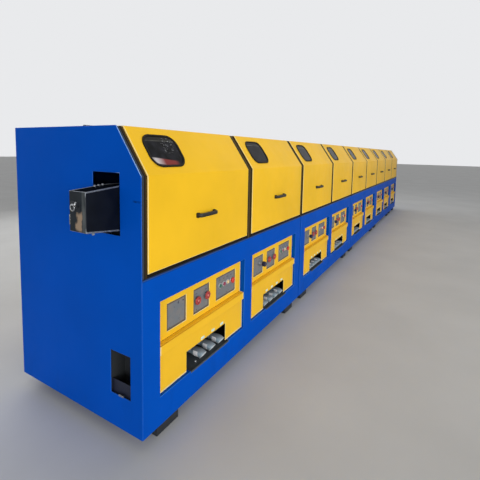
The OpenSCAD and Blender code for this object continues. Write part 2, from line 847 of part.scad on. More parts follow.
// Fixed half of each hinge: two barrels with the pin through them, and a leaf on the roof
module hood_hinges() {
    half = barrel_l / 2 + barrel_gap;
    color("#2b2d30") placed() for_each_block() for (x = hinge_xs()) {
        barrel(x - half - fixed_barrel_l, 2 * (half + fixed_barrel_l), pin_d);
        for (start = [x - half - fixed_barrel_l, x + half]) {
            barrel(start, fixed_barrel_l, barrel_d);
            translate([start, hinge_y, top_z]) cube([fixed_barrel_l, leaf_l, leaf_t]);
        }
    }
}

// Folded hood: upright front, slope and roof, with folded side and lower edges
module hood(n) {
    x = hood_start(n);
    w = hood_end(n) - x;
    color(yellow) placed() difference() {
        union() {
            along_x(x, w) polygon(hood_band(0, hood_t, hood_z, hood_depth));
            for (edge = [x, x + w - hood_t]) along_x(edge, hood_t)
                polygon(hood_band(0, hood_edge, hood_z, hood_depth));
            translate([x, 0, hood_z]) cube([w, hood_foot_edge, hood_t]);
            for (hx = hinge_xs()) translate([(n - 1) * block_pitch, 0, 0]) {
                barrel(hx - barrel_l / 2, barrel_l, barrel_d);
                translate([hx - barrel_l / 2, hinge_y - leaf_l, top_z - hood_t])
                    cube([barrel_l, leaf_l, leaf_t + hood_t]);
            }
        }
        for (hx = hinge_xs()) translate([(n - 1) * block_pitch, 0, 0])
            barrel(hx - barrel_l / 2 - 1, barrel_l + 2, pin_d + 2 * pin_gap);
        on_slope((n - 1) * block_pitch + window_x, slope_l / 2) translate([0, 0, -2 * hood_t])
            linear_extrude(4 * hood_t) round_rect(window_w, window_h, window_r);
    }
}

module window(n) {
    gap = 2 * glass_gap;
    color("#22262b") placed() on_slope((n - 1) * block_pitch + window_x, slope_l / 2)
        translate([0, 0, -hood_t]) linear_extrude(hood_t)
            round_rect(window_w - gap, window_h - gap, window_r - glass_gap);
}

// Rubber surround of the window, and the bridge handle
module hood_trim(n) {
    color("#1c1c1c") placed() translate([(n - 1) * block_pitch, 0, 0]) {
        on_slope(window_x, slope_l / 2) linear_extrude(surround_t) difference() {
            round_rect(window_w + 2 * surround_out, window_h + 2 * surround_out, window_r + surround_out);
            round_rect(window_w - 2 * surround_in, window_h - 2 * surround_in, window_r - surround_in);
        }
        translate([handle_x, 0, hood_z + handle_lift - grip_h / 2]) linear_extrude(grip_h) handle_outline();
    }
}

// Plan of the handle: a bar with rounded corners on two feet
module handle_outline() {
    r = grip_t;
    difference() {
        union() {
            translate([-handle_l / 2 + r, -handle_proud]) square([handle_l - 2 * r, handle_proud]);
            translate([-handle_l / 2, -handle_proud + r]) square([handle_l, handle_proud - r]);
            for (side = [-1, 1]) translate([side * (handle_l / 2 - r), -handle_proud + r])
                circle(r, $fn = 48);
        }
        translate([-handle_l / 2 + handle_foot, -handle_proud + grip_t])
            square([handle_l - 2 * handle_foot, handle_proud]);
    }
}

for (n = [1 : section_count()]) base_section(n);
feet();
deck_gaskets();
near_end_panel();
far_end_panel();
rib_frames();
rib_seals();
back_housing();
back_covers();
control_panels();
instrument_plates();
regulators();
valve_wheels();
push_buttons();
stop_buttons();
lower_covers();
coolant_pipes();
drain_troughs();
inlet_box();
inlet_roller();
drawing_drums();
die_boxes();
hood_hinges();
for (n = [1 : block_count]) hood(n);
for (n = [1 : block_count]) window(n);
for (n = [1 : block_count]) hood_trim(n);
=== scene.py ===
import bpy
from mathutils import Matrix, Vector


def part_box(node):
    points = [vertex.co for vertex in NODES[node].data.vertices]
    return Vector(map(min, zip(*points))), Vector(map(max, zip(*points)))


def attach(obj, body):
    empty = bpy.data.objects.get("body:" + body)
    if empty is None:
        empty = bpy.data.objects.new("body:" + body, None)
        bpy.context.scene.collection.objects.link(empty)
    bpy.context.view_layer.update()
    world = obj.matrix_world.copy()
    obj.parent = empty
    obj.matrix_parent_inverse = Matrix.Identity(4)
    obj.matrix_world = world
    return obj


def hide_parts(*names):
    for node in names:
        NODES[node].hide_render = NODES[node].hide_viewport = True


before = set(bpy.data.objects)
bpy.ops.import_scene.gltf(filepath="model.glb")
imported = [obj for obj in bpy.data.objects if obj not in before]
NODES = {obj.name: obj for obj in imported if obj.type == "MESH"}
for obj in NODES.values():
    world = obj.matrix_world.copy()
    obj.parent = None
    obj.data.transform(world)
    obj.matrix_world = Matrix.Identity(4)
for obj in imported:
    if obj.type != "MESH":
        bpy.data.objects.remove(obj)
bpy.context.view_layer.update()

# Looks of a straight-line wire drawing machine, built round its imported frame.
# Every piece is in metres on the frame's axes: X with the wire, Y away from the operator, Z up.

import math

import bmesh
import bpy
import numpy as np
from mathutils import Matrix, Vector

MACHINE = "machine"
SCENE = bpy.context.scene

# Driving places, read from the frame
near_low, near_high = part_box("near_end_panel")
base_low, base_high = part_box("base_section_1")
panel_low, panel_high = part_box("control_panels")
window_low, window_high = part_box("window_1")
inlet_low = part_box("inlet_box")[0]
NEAR_X = near_low.x
FAR_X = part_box("far_end_panel")[1].x
FRONT_Y = near_low.y
BACK_Y = near_high.y
BASE_Z = base_low.z
DECK_Z = base_high.z
TOP_Z = near_high.z
COVER_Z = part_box("lower_covers")[0].z
BLOCKS = sum(name.startswith("window_") for name in NODES)
PITCH = (FAR_X - NEAR_X) / BLOCKS

# Sheets and folds
SHEET = 0.004
FOLD_R = 0.004
KNEE_R = 0.016
HOOD_EDGE = 0.040
HOOD_FOOT_EDGE = 0.030

# Window opening, and its rubber on both sides of the edge
WINDOW = (0.258, 0.197, 0.065)
RUBBER_OUT = 0.008
RUBBER_IN = 0.006
RUBBER_T = 0.005
WINDOW_COLUMNS = 20
WINDOW_ROWS = 14


def mesh_points(node):
    """Vertices of a CAD node as an array of rows x, y, z."""
    mesh = NODES[node].data
    points = np.empty(len(mesh.vertices) * 3, np.float32)
    mesh.vertices.foreach_get("co", points)
    return points.reshape(-1, 3).astype(float)


# The end panel's outline is the hoods' outline too: the knee, and the slope above it
end_points = mesh_points("near_end_panel")
KNEE_Z = end_points[np.isclose(end_points[:, 1], FRONT_Y, atol=1e-4), 2].max()
SLOPE_Y = end_points[np.isclose(end_points[:, 2], TOP_Z, atol=1e-4), 1].min() - FRONT_Y
SLOPE_A = math.atan2(TOP_Z - KNEE_Z, SLOPE_Y)

# Turns of a part drawn standing on z = 0, as matrices
UPRIGHT = np.eye(3)
TO_FRONT = np.array([[1.0, 0, 0], [0, 0, -1], [0, 1, 0]])
TO_BACK = np.array([[-1.0, 0, 0], [0, 0, 1], [0, 1, 0]])
TO_NEAR_END = np.array([[0, 0, -1.0], [-1, 0, 0], [0, 1, 0]])
TO_FAR_END = np.array([[0, 0, 1.0], [1, 0, 0], [0, 1, 0]])
ON_SLOPE = np.array([
    [1.0, 0, 0],
    [0, math.cos(SLOPE_A), -math.sin(SLOPE_A)],
    [0, math.sin(SLOPE_A), math.cos(SLOPE_A)],
])


def spot(x, y, z):
    """Place given from the machine's near front corner at floor level."""
    return np.array([NEAR_X + x, FRONT_Y + y, z])


def mid_face(low, high, y):
    """Middle of a box in x and z, at the depth y."""
    x, _, z = (low + high) / 2
    return x, y, z


def solids(node):
    """Boxes (low, high) of the separate solids in a CAD node, in order of x.

    Points that coincide are merged. Each takes the lowest label on its triangles, again and
    again, until no label changes; each label left is one solid.
    """
    mesh = NODES[node].data
    keys, merged = np.unique(np.round(mesh_points(node), 5), axis=0, return_inverse=True)
    merged = merged.reshape(-1)
    mesh.calc_loop_triangles()
    triangles = np.empty(len(mesh.loop_triangles) * 3, np.int32)
    mesh.loop_triangles.foreach_get("vertices", triangles)
    triangles = merged[triangles.reshape(-1, 3)]
    labels = np.arange(len(keys))
    while True:
        before = labels.copy()
        lowest = labels[triangles].min(axis=1)
        for corner in range(3):
            np.minimum.at(labels, triangles[:, corner], lowest)
        labels = labels[labels]
        if np.array_equal(before, labels):
            break
    found = [keys[labels == label] for label in np.unique(labels)]
    boxes = [(points.min(axis=0), points.max(axis=0)) for points in found]
    return sorted(boxes, key=lambda box: (round(box[0][0], 4), box[0][2]))


def grid_faces(rows, columns, wrap_rows=False, wrap_columns=True):
    """Quads of a grid whose points run row by row, closed across a wrapped direction."""
    i = np.arange(rows if wrap_rows else rows - 1)[:, None] * columns
    j = np.arange(columns if wrap_columns else columns - 1)[None, :]
    i2, j2 = (i + columns) % (rows * columns), (j + 1) % columns
    return np.stack([i + j, i + j2, i2 + j2, i2 + j], axis=-1).reshape(-1, 4)


def closed_stack(rings):
    """Skin over rings of points, closed by a fan of triangles at each end.

    rings has the shape (rings, points, 3). Seen from the last ring, each runs counter-clockwise.
    A triangle is a row of faces with -1 in its last place.
    """
    rows, columns = rings.shape[:2]
    points = np.concatenate([rings.reshape(-1, 3), rings[:1].mean(axis=1), rings[-1:].mean(axis=1)])
    j = np.arange(columns)
    k = np.roll(j, -1)
    none = np.full(columns, -1)
    low, high, last = rows * columns, rows * columns + 1, (rows - 1) * columns
    first_fan = np.stack([np.full(columns, low), k, j, none], axis=1)
    last_fan = np.stack([np.full(columns, high), last + j, last + k, none], axis=1)
    return points, np.concatenate([grid_faces(rows, columns), first_fan, last_fan])


def turned(profile, sides=32, flutes=0, depth=0.0, ring=False):
    """Profile of (radius, height) turned round z: x = r cos t, y = r sin t.

    Flutes cut the radius to r (1 - depth (1 + cos(flutes t)) / 2). A ring's profile is a
    closed loop, counter-clockwise with the radius to the right.
    """
    profile = np.asarray(profile, float)
    t = np.linspace(0, 2 * math.pi, sides, endpoint=False)
    r = profile[:, :1] * (1 - depth * (1 + np.cos(flutes * t)) / 2)
    z = np.broadcast_to(profile[:, 1:], r.shape)
    rings = np.stack([r * np.cos(t), r * np.sin(t), z], axis=-1)
    if ring:
        return rings.reshape(-1, 3), grid_faces(len(profile), sides, wrap_rows=True)
    return closed_stack(rings)


def round_rect(w, h, r, steps=5):
    """Rounded rectangle, counter-clockwise: each corner's middle plus r (cos t, sin t)."""
    t = np.arange(4)[:, None] * math.pi / 2 + np.linspace(0, math.pi / 2, steps + 1)[None]
    middles = np.array([[1, 1], [-1, 1], [-1, -1], [1, -1]]) * [w / 2 - r, h / 2 - r]
    return (middles[:, None] + r * np.stack([np.cos(t), np.sin(t)], axis=-1)).reshape(-1, 2)


def plate(w, h, t, corner, edge=0.0008, steps=5):
    """Plate on z = 0 with rounded corners and a rounded upper edge.

    That edge is drawn in by edge (1 - cos u) as it climbs edge sin u.
    """
    turns = np.linspace(0, math.pi / 2, 4)
    insets = np.concatenate([[0.0], edge * (1 - np.cos(turns))])
    heights = np.concatenate([[0.0], t - edge + edge * np.sin(turns)])
    rings = []
    for inset, z in zip(insets, heights):
        outline = round_rect(w - 2 * inset, h - 2 * inset, max(corner - inset, 1e-4), steps)
        rings.append(np.column_stack([outline, np.full(len(outline), z)]))
    return closed_stack(np.array(rings))


def swept(path, section, reference, closed=False):
    """Section carried along a path: path point + a side + b reference.

    The tangent is the difference of the neighbours on the path, and side is the reference
    crossed with it, so a section drawn counter-clockwise in (a, b) faces outwards.
    """
    path, section = np.asarray(path, float), np.asarray(section, float)
    reference = np.asarray(reference, float)
    if closed:
        tangent = np.roll(path, -1, axis=0) - np.roll(path, 1, axis=0)
    else:
        tangent = np.gradient(path, axis=0)
    side = np.cross(reference, tangent)
    side /= np.linalg.norm(side, axis=1)[:, None]
    rings = path[:, None] + section[None, :, :1] * side[:, None] + section[None, :, 1:] * reference
    if closed:
        return rings.reshape(-1, 3), grid_faces(len(path), len(section), wrap_rows=True)
    return closed_stack(rings)


def circle(d, sides=16):
    """Circle of diameter d, counter-clockwise: d / 2 (cos t, sin t)."""
    t = np.linspace(0, 2 * math.pi, sides, endpoint=False)
    return d / 2 * np.column_stack([np.cos(t), np.sin(t)])


def dome(r, low, high, steps=5):
    """Profile of a dome: radius r cos u, height from low to high by sin u, short of the pole."""
    u = np.linspace(0, math.pi / 2, steps + 1)[:-1]
    return np.column_stack([r * np.cos(u), low + (high - low) * np.sin(u)])


def placed(part, turn=UPRIGHT, place=(0.0, 0.0, 0.0)):
    """Part turned by a matrix and moved to its place."""
    return part[0] @ turn.T + np.asarray(place, float), part[1]


def joined(parts):
    """One part from several, each one's face numbers moved on by the points before it."""
    starts = np.cumsum([0] + [len(points) for points, _ in parts[:-1]])
    faces = [np.where(f < 0, -1, f + start) for (_, f), start in zip(parts, starts)]
    return np.concatenate([points for points, _ in parts]), np.concatenate(faces)


def copies(part, places):
    """The same part at each place: its points plus every place in one broadcast sum."""
    points, faces = part
    places = np.asarray(places, float).reshape(-1, 3)
    moved = (places[:, None, :] + points[None]).reshape(-1, 3)
    steps = (np.arange(len(places)) * len(points))[:, None, None]
    return moved, np.where(faces[None] < 0, -1, faces[None] + steps).reshape(-1, 4)


def linked(name, data):
    """New object of that data, in the scene."""
    made = bpy.data.objects.new(name, data)
    SCENE.collection.objects.link(made)
    return made


def settled(name, mesh, finishes, body, replaces):
    """Object of a mesh with its finishes, riding on its body, in place of CAD nodes if any."""
    for finish in finishes:
        mesh.materials.append(finish)
    piece = linked(name, mesh)
    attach(piece, body)
    if replaces:
        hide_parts(*replaces)
    return piece


# Edges that turn by more than this stay sharp on new pieces, and are rounded on dressed ones
SHARP = math.radians(40)
BEVELLED = math.radians(35)


def new_piece(name, part, finish, body=MACHINE, replaces=(), fold=None):
    """New object at the origin from (points, faces), with its finish and slot.

    fold is the share of the second tone at each point, kept as an attribute.
    """
    points, faces = part
    sides = np.where(faces[:, 3] < 0, 3, 4)
    corners = faces[faces >= 0]
    mesh = bpy.data.meshes.new(name)
    mesh.vertices.add(len(points))
    mesh.vertices.foreach_set("co", np.asarray(points, np.float32).ravel())
    mesh.loops.add(len(corners))
    mesh.loops.foreach_set("vertex_index", corners.astype(np.int32))
    mesh.polygons.add(len(faces))
    mesh.polygons.foreach_set("loop_start", (np.cumsum(sides) - sides).astype(np.int32))
    mesh.update(calc_edges=True)
    mesh.polygons.foreach_set("use_smooth", np.ones(len(faces), bool))
    mesh.set_sharp_from_angle(angle=SHARP)
    if fold is not None:
        tones = mesh.attributes.new("fold", "FLOAT", "POINT")
        tones.data.foreach_set("value", np.asarray(fold, np.float32))
    mesh.validate()
    return settled(name, mesh, [finish], body, replaces)


def dressed(node, finishes, width, thin=0.0):
    """Copy of a CAD node with its edges rounded, in place of that node.

    Doubles are merged and flat faces joined first. The bevel's own faces take the second
    material, the paint at a fold, which on the painted sheets carries a painted highlight, and so
    do faces that turn away from the front and are no wider in y than thin.
    """
    mesh = bpy.data.meshes.new(node + "_finished")
    form = bmesh.new()
    form.from_mesh(NODES[node].data)
    bmesh.ops.remove_doubles(form, verts=form.verts, dist=1e-5)
    bmesh.ops.dissolve_limit(form, angle_limit=math.radians(0.5), verts=form.verts, edges=form.edges)
    for face in form.faces:
        face.smooth = True
        reach = [corner.co.y for corner in face.verts]
        face.material_index = int(abs(face.normal.y) < 0.5 and max(reach) - min(reach) < thin)
    form.to_mesh(mesh)
    form.free()
    mesh.set_sharp_from_angle(angle=BEVELLED)
    piece = settled(mesh.name, mesh, finishes, MACHINE, [node])
    bevel = piece.modifiers.new("rounded_edges", "BEVEL")
    bevel.width = width
    bevel.segments = 3
    bevel.limit_method = "ANGLE"
    bevel.angle_limit = BEVELLED
    bevel.harden_normals = True
    if len(finishes) > 1:
        bevel.material = 1
    return piece


class Nodes:
    """Node tree of a material or of the world, with short calls for the nodes that it takes.

    place is the object coordinates, and x, y and z are their parts.
    """

    def __init__(self, owner, shader):
        owner.use_nodes = True
        self.owner = owner
        self.tree = owner.node_tree
        self.shader = self.tree.nodes[shader]
        self.place = self.node("TexCoord", {}).outputs["Object"]
        self.x, self.y, self.z = self.node("SeparateXYZ", {0: self.place}).outputs

    def feed(self, sockets, values):
        """Each value linked into its socket where a node gives it, or else set; text is a hex code."""
        for key, value in values.items():
            if isinstance(value, bpy.types.NodeSocket):
                self.tree.links.new(value, sockets[key])
            else:
                sockets[key].default_value = rgb(value) if isinstance(value, str) else value

    def node(self, kind, inputs, **settings):
        """Node of that kind: settings on the node, then its inputs fed."""
        made = self.tree.nodes.new("ShaderNode" + kind)
        for key, value in settings.items():
            setattr(made, key, value)
        self.feed(made.inputs, inputs)
        return made

    def finished(self, **values):
        """The owner, with values fed to its shader's sockets, _ standing for a space."""
        self.feed(self.shader.inputs, {key.replace("_", " "): value for key, value in values.items()})
        return self.owner

    def noise(self, scale, detail=3.0, stretch=None):
        """Noise on the object coordinates, drawn out by a scale for each axis."""
        vector = self.place
        if stretch:
            vector = self.node("Mapping", {"Vector": vector, "Scale": stretch}).outputs[0]
        made = self.node("TexNoise", {"Vector": vector, "Scale": scale, "Detail": detail})
        return made.outputs["Fac"]

    def ramp(self, value, low, high, to_low=0.0, to_high=1.0):
        """value taken from low..high to to_low..to_high, clamped."""
        inputs = {"Value": value, "From Min": low, "From Max": high, "To Min": to_low, "To Max": to_high}
        return self.node("MapRange", inputs).outputs[0]

    def patches(self, scale, detail, low, high, to_low=0.0, to_high=1.0):
        """Noise taken through a ramp."""
        return self.ramp(self.noise(scale, detail), low, high, to_low, to_high)

    def math(self, operation, a, b=0.0):
        return self.node("Math", {0: a, 1: b}, operation=operation).outputs[0]

    def plus(self, a, b):
        return self.math("ADD", a, b)

    def minus(self, a, b):
        return self.math("SUBTRACT", a, b)

    def times(self, a, b):
        return self.math("MULTIPLY", a, b)

    def all_of(self, *masks):
        """Product of masks."""
        product = masks[0]
        for mask in masks[1:]:
            product = self.times(product, mask)
        return product

    def within(self, value, low, high, soft):
        """1 where value lies from low to high, falling to 0 over soft beyond each end."""
        return self.all_of(self.ramp(value, low - soft, low), self.ramp(value, high + soft, high))

    def mix(self, share, a, b):
        """Colour a turned into colour b by share."""
        return self.node("Mix", {0: share, 6: a, 7: b}, data_type="RGBA").outputs[2]

    def over(self, base, layers):
        """base under each layer's colour code, by its mask, a function of the tree, times its share."""
        for mask, share, code in layers:
            base = self.mix(self.times(mask(self), share), base, code)
        return base

    def bump(self, height, strength, distance, **normal):
        inputs = {"Height": height, "Strength": strength, "Distance": distance, **normal}
        return self.node("Bump", inputs).outputs[0]

    def fold(self):
        """Share of the second tone, from the mesh."""
        return self.node("Attribute", {}, attribute_name="fold").outputs["Fac"]


def rgb(code):
    """Scene colour of a hex code, as linear red, green and blue with alpha 1."""
    parts = [int(code[i:i + 2], 16) / 255 for i in (0, 2, 4)]
    return tuple(p / 12.92 if p <= 0.04045 else ((p + 0.055) / 1.055) ** 2.4 for p in parts) + (1.0,)


def shade(code, share):
    """Scene colour of a hex code times share."""
    return tuple(c * share for c in rgb(code)[:3]) + (1.0,)


def new_finish(name):
    """Node tree of a new material."""
    return Nodes(bpy.data.materials.new(name), "Principled BSDF")


# Depths behind the front and heights at which the paint changes: the pipe spaces from front to
# back and their rim, the skin of the cabin, and the end of the painted shade under the deck's edge
SPACE_Y = (0.052, 0.300)
SPACE_RIM = 0.03
SKIN = (0.0022, 0.0030)
UNDER_HOOD_SHADE_Y = (0.05, 0.04)
UNDER_HOOD_SHADE_Z = (0.014, -0.002)

# Rims of the panels and covers, which take a pale painted highlight, measured in x from the middle of a
# base section
PANEL_NEAR = 0.062
PANEL_FAR = 0.965
RIM = (0.0115, 0.0075)

# Faint dark smear on the near end panel, beside its front edge
SMUDGE = spot(0, 0.030, 1.323)


def inside_mask(n):
    """1 in the pipe spaces behind the base's front, and 0 on its outer faces."""
    deep = n.within(n.y, FRONT_Y + SPACE_Y[0], FRONT_Y + SPACE_Y[1], 0.006)
    return n.all_of(deep, n.within(n.z, BASE_Z + SPACE_RIM, DECK_Z - SPACE_RIM, 0.01))


def cabin_mask(n):
    """1 inside the cabin over the deck, and 0 on the outer faces of its roof and back."""
    return n.all_of(*[n.ramp(place, face - SKIN[0], face - SKIN[1])
                      for place, face in ((n.y, BACK_Y), (n.z, TOP_Z))])


def deck_shade(n):
    """Painted shade in the corner under the hoods, fading down the front from the deck's edge."""
    down = n.minus(n.minus(DECK_Z, n.z), n.times(n.noise(6.0), 0.006))
    front = n.ramp(n.y, FRONT_Y + UNDER_HOOD_SHADE_Y[0], FRONT_Y + UNDER_HOOD_SHADE_Y[1])
    return n.all_of(n.ramp(down, *UNDER_HOOD_SHADE_Z), front)


def in_section(n):
    """How far along its base section a place lies."""
    return n.math("MODULO", n.minus(n.x, NEAR_X), 2 * PITCH)


def seam_shade(n):
    """Painted shade in patches on the near side of each joint between two base sections."""
    close = n.ramp(in_section(n), 2 * PITCH - 0.014, 2 * PITCH - 0.004)
    return n.all_of(close, n.patches(9.0, 3.0, 0.3, 0.6, 0.4, 1.0))


def rim_highlight(n):
    """1 along the rims of the control panels and lower covers, where a pale painted highlight lies, in
    uneven lengths.

    Two blocks share one base section and mirror each other, so the distance to a panel's side
    rims comes from how far a place lies from the middle of its section.
    """
    away = n.math("ABSOLUTE", n.minus(in_section(n), PITCH))
    side = n.math("MINIMUM", n.minus(away, PANEL_NEAR), n.minus(PANEL_FAR, away))
    end = n.math("MINIMUM", n.minus(panel_high.z, n.z), n.minus(n.z, COVER_Z))
    rim = n.ramp(n.math("MINIMUM", side, end), *RIM)
    return n.times(rim, n.patches(5.0, 3.0, 0.25, 0.6, 0.45, 1.0))


def end_smudge(n):
    """Short level smear with ragged ends, on the near end panel alone."""
    y = n.within(n.y, SMUDGE[1] - 0.018, SMUDGE[1] + 0.018, 0.014)
    z = n.within(n.z, SMUDGE[2] - 0.003, SMUDGE[2] + 0.003, 0.004)
    near = n.ramp(n.x, NEAR_X + 0.02, NEAR_X + 0.01)
    return n.all_of(y, z, near, n.patches(70.0, 3.0, 0.35, 0.6, 0.2, 0.8))


def lip_shade_mask(n):
    """1 in the fold of the lip between a control panel and its cover, where the ochre painted shade
    goes.
    """
    return n.within(n.z, panel_low.z - 0.085, panel_low.z + 0.020, 0.004)


def paint(name, code, fold_highlight_code, dust_code, gloss, layers=()):
    """Sprayed paint on sheet: faint clouds, orange peel, grime low down and in streaks, and a pale
    painted highlight on folds.
    """
    n = new_finish(name)
    base = n.mix(n.patches(2.2, 4.0, 0.3, 0.7), shade(code, 0.94), shade(code, 1.05))
    grime = n.ramp(n.noise(9.0, 6.0, stretch=(1.0, 1.0, 0.35)), 0.52, 0.78, 0.0, 0.30)
    low = n.ramp(n.z, BASE_Z + 0.26, BASE_Z - 0.02, 0.08, 1.0)
    base = n.over(n.mix(n.times(grime, low), base, dust_code), layers)
    clouds = n.bump(n.noise(3.0, 2.0), 0.10, 0.004)
    return n.finished(
        # Pale painted highlight on the folds, where the fold attribute is set
        Base_Color=n.mix(n.fold(), base, fold_highlight_code),
        Roughness=n.patches(14.0, 4.0, 0.3, 0.7, 0.40, 0.50),
        Normal=n.bump(n.noise(420.0, 2.0), 0.05, 0.0006, Normal=clouds),
        Specular_IOR_Level=gloss)


def fold_paint(name, code, pale_highlight_code, layers=()):
    """Paint over a bent edge, paler than the flat for a painted highlight, and paler still in uneven
    lengths.
    """
    n = new_finish(name)
    # Uneven lengths in which the painted highlight is paler
    thin = n.patches(7.0, 3.0, 0.35, 0.65)
    return n.finished(
        Base_Color=n.over(n.mix(thin, code, pale_highlight_code), layers),
        Roughness=n.ramp(thin, 0.0, 1.0, 0.36, 0.46),
        Normal=n.bump(n.noise(300.0, 2.0), 0.05, 0.0005),
        Specular_IOR_Level=0.16)


def panel_fold_paint(name, code, pale_highlight_code, lip_shade_code):
    """Edge paint of the panels and covers: a pale painted highlight at the rims, and an ochre painted
    shade in the lip's fold.
    """
    n = new_finish(name)
    base = n.mix(n.patches(7.0, 3.0, 0.35, 0.65), code, pale_highlight_code)
    return n.finished(
        Base_Color=n.over(base, [(lip_shade_mask, 1.0, lip_shade_code)]),
        Roughness=n.patches(14.0, 4.0, 0.3, 0.7, 0.40, 0.50),
        Normal=n.bump(n.noise(300.0, 2.0), 0.05, 0.0005),
        Specular_IOR_Level=0.10)


def end_fold_paint(name, code, slope_highlight_code):
    """Edge paint of the end panels: a pale painted highlight in uneven lengths up the slope, near the
    panel's blue below the knee.
    """
    n = new_finish(name)
    above = n.ramp(n.z, KNEE_Z - 0.01, KNEE_Z + 0.01)
    before = n.ramp(n.y, FRONT_Y + SLOPE_Y + 0.01, FRONT_Y + SLOPE_Y - 0.01)
    # Uneven lengths of the pale painted highlight up the slope
    worn = n.patches(5.0, 4.0, 0.25, 0.55, 0.35, 1.0)
    return n.finished(
        Base_Color=n.mix(n.all_of(above, before, worn), code, slope_highlight_code),
        Roughness=n.ramp(worn, 0.3, 1.0, 0.42, 0.32),
        Normal=n.bump(n.noise(300.0, 2.0), 0.05, 0.0005),
        Specular_IOR_Level=0.16)


def rubber(name, code, dust_code, near_code=None):
    """Matt rubber or dull paint: fine grain, a bloom in streaks, and a second tone where folded."""
    n = new_finish(name)
    base = n.mix(n.patches(30.0, 5.0, 0.45, 0.75, 0.0, 0.5), code, dust_code)
    base = n.mix(n.fold(), base, "34322c")
    if near_code:
        base = n.mix(n.ramp(n.x, NEAR_X + 0.045, NEAR_X + 0.040), base, near_code)
    return n.finished(
        Base_Color=base,
        Roughness=n.patches(60.0, 3.0, 0.3, 0.7, 0.55, 0.75),
        Normal=n.bump(n.noise(900.0, 2.0), 0.15, 0.0004),
        Specular_IOR_Level=0.12)


def steel(name, code, dark_code, roughness, metal=1.0, rust=0.0):
    """Bare steel: grain, dark clouds, and rust in spots where rust is above 0."""
    n = new_finish(name)
    grain = n.noise(160.0, 4.0)
    base = n.mix(n.patches(11.0, 5.0, 0.35, 0.7), code, dark_code)
    base = n.mix(n.ramp(grain, 0.3, 0.8, 0.0, 0.3), base, shade(code, 1.3))
    if rust:
        spots = n.patches(26.0, 7.0, 0.62 - 0.14 * rust, 0.70 - 0.14 * rust)
        base = n.mix(spots, base, "6a4a34")
        metal = n.ramp(spots, 0.0, 1.0, metal, 0.0)
    return n.finished(
        Base_Color=base,
        Metallic=metal,
        Roughness=n.ramp(grain, 0.3, 0.7, roughness - 0.06, roughness + 0.08),
        Normal=n.bump(grain, 0.12, 0.0006))


def galvanised(name, top_shade_z):
    """Zinc-coated pipe: spangle in two greys, a darker painted shade above a given height on the side
    that faces up, and a pale painted highlight on the second tone.
    """
    n = new_finish(name)
    spangle = n.node("TexVoronoi", {"Vector": n.place, "Scale": 130.0}).outputs["Distance"]
    base = n.mix(n.ramp(spangle, 0.0, 0.6), "93a9b8", "acc3d1")
    height = n.plus(n.z, n.times(n.noise(40.0, 4.0), 0.012))
    # Painted shade on the upper side, above the given height
    top_shade = n.ramp(height, top_shade_z, top_shade_z + 0.016)
    base = n.mix(n.times(top_shade, 0.75), base, "74767b")
    return n.finished(
        # Pale painted highlight on the mouth's rim, where the fold attribute is set
        Base_Color=n.mix(n.fold(), base, "ced4d6"),
        Roughness=n.ramp(top_shade, 0.0, 1.0, 0.48, 0.66),
        Normal=n.bump(spangle, 0.06, 0.0005),
        Metallic=0.1,
        Specular_IOR_Level=0.3)


def plastic(name, code, roughness):
    """Moulded plastic with a fine grain and faint clouds."""
    n = new_finish(name)
    clouds = n.patches(40.0, 3.0, 0.3, 0.7)
    return n.finished(
        Base_Color=n.mix(clouds, shade(code, 0.9), shade(code, 1.08)),
        Roughness=n.ramp(clouds, 0.0, 1.0, roughness, roughness + 0.08),
        Normal=n.bump(n.noise(1400.0, 2.0), 0.05, 0.0003))


def mottled_plate(name, code, warm_code, dark_code, cutout_shadow_code):
    """Grey face plate, brushed lengthwise: warm blotches, small dark marks and a brown painted shadow at
    its border.
    """
    n = new_finish(name)
    brushed = n.noise(90.0, 3.0, stretch=(0.06, 1.0, 1.0))
    base = n.mix(n.patches(16.0, 5.0, 0.42, 0.62), code, warm_code)
    base = n.mix(n.ramp(brushed, 0.3, 0.7, 0.0, 0.25), base, shade(code, 1.2))
    base = n.mix(n.patches(75.0, 6.0, 0.64, 0.72), base, dark_code)
    return n.finished(
        Base_Color=n.mix(n.times(n.fold(), 0.85), base, cutout_shadow_code),
        Roughness=n.ramp(brushed, 0.3, 0.7, 0.45, 0.60),
        Normal=n.bump(brushed, 0.10, 0.0005),
        Metallic=0.1,
        Specular_IOR_Level=0.15)


# What shines in the first pane, from the middle of it: a band with its white part, and specks
GLARE_UP = (-0.092, -0.060)
GLARE_X = (-0.100, 0.045)
GLARE_WHITE = -0.088
GLARE_TILT = 0.14
SPECKS_UP = (0.000, 0.075)
SPECKS_X = (0.010, 0.095)


def window_glare(n, base):
    """Low reflection in the first pane: a band along its foot, white at one end, then dull red."""
    x = n.minus(n.x, (window_low.x + window_high.x) / 2)
    z = n.minus(n.z, (window_low.z + window_high.z) / 2)
    up = n.math("DIVIDE", z, math.sin(SLOPE_A))
    tilted = n.plus(up, n.times(x, GLARE_TILT))
    band = n.all_of(n.within(tilted, *GLARE_UP, 0.006), n.within(x, *GLARE_X, 0.035))
    red = n.mix(n.ramp(x, GLARE_WHITE, GLARE_WHITE + 0.055), "d2cacb", "8a3c38")
    base = n.mix(n.times(band, 0.9), base, red)
    grains = n.ramp(n.noise(60.0, 9.0, stretch=(1.0, 3.0, 3.0)), 0.60, 0.68)
    specks = n.all_of(grains, n.within(up, *SPECKS_UP, 0.02), n.within(x, *SPECKS_X, 0.02))
    return n.mix(specks, base, "a9abae")


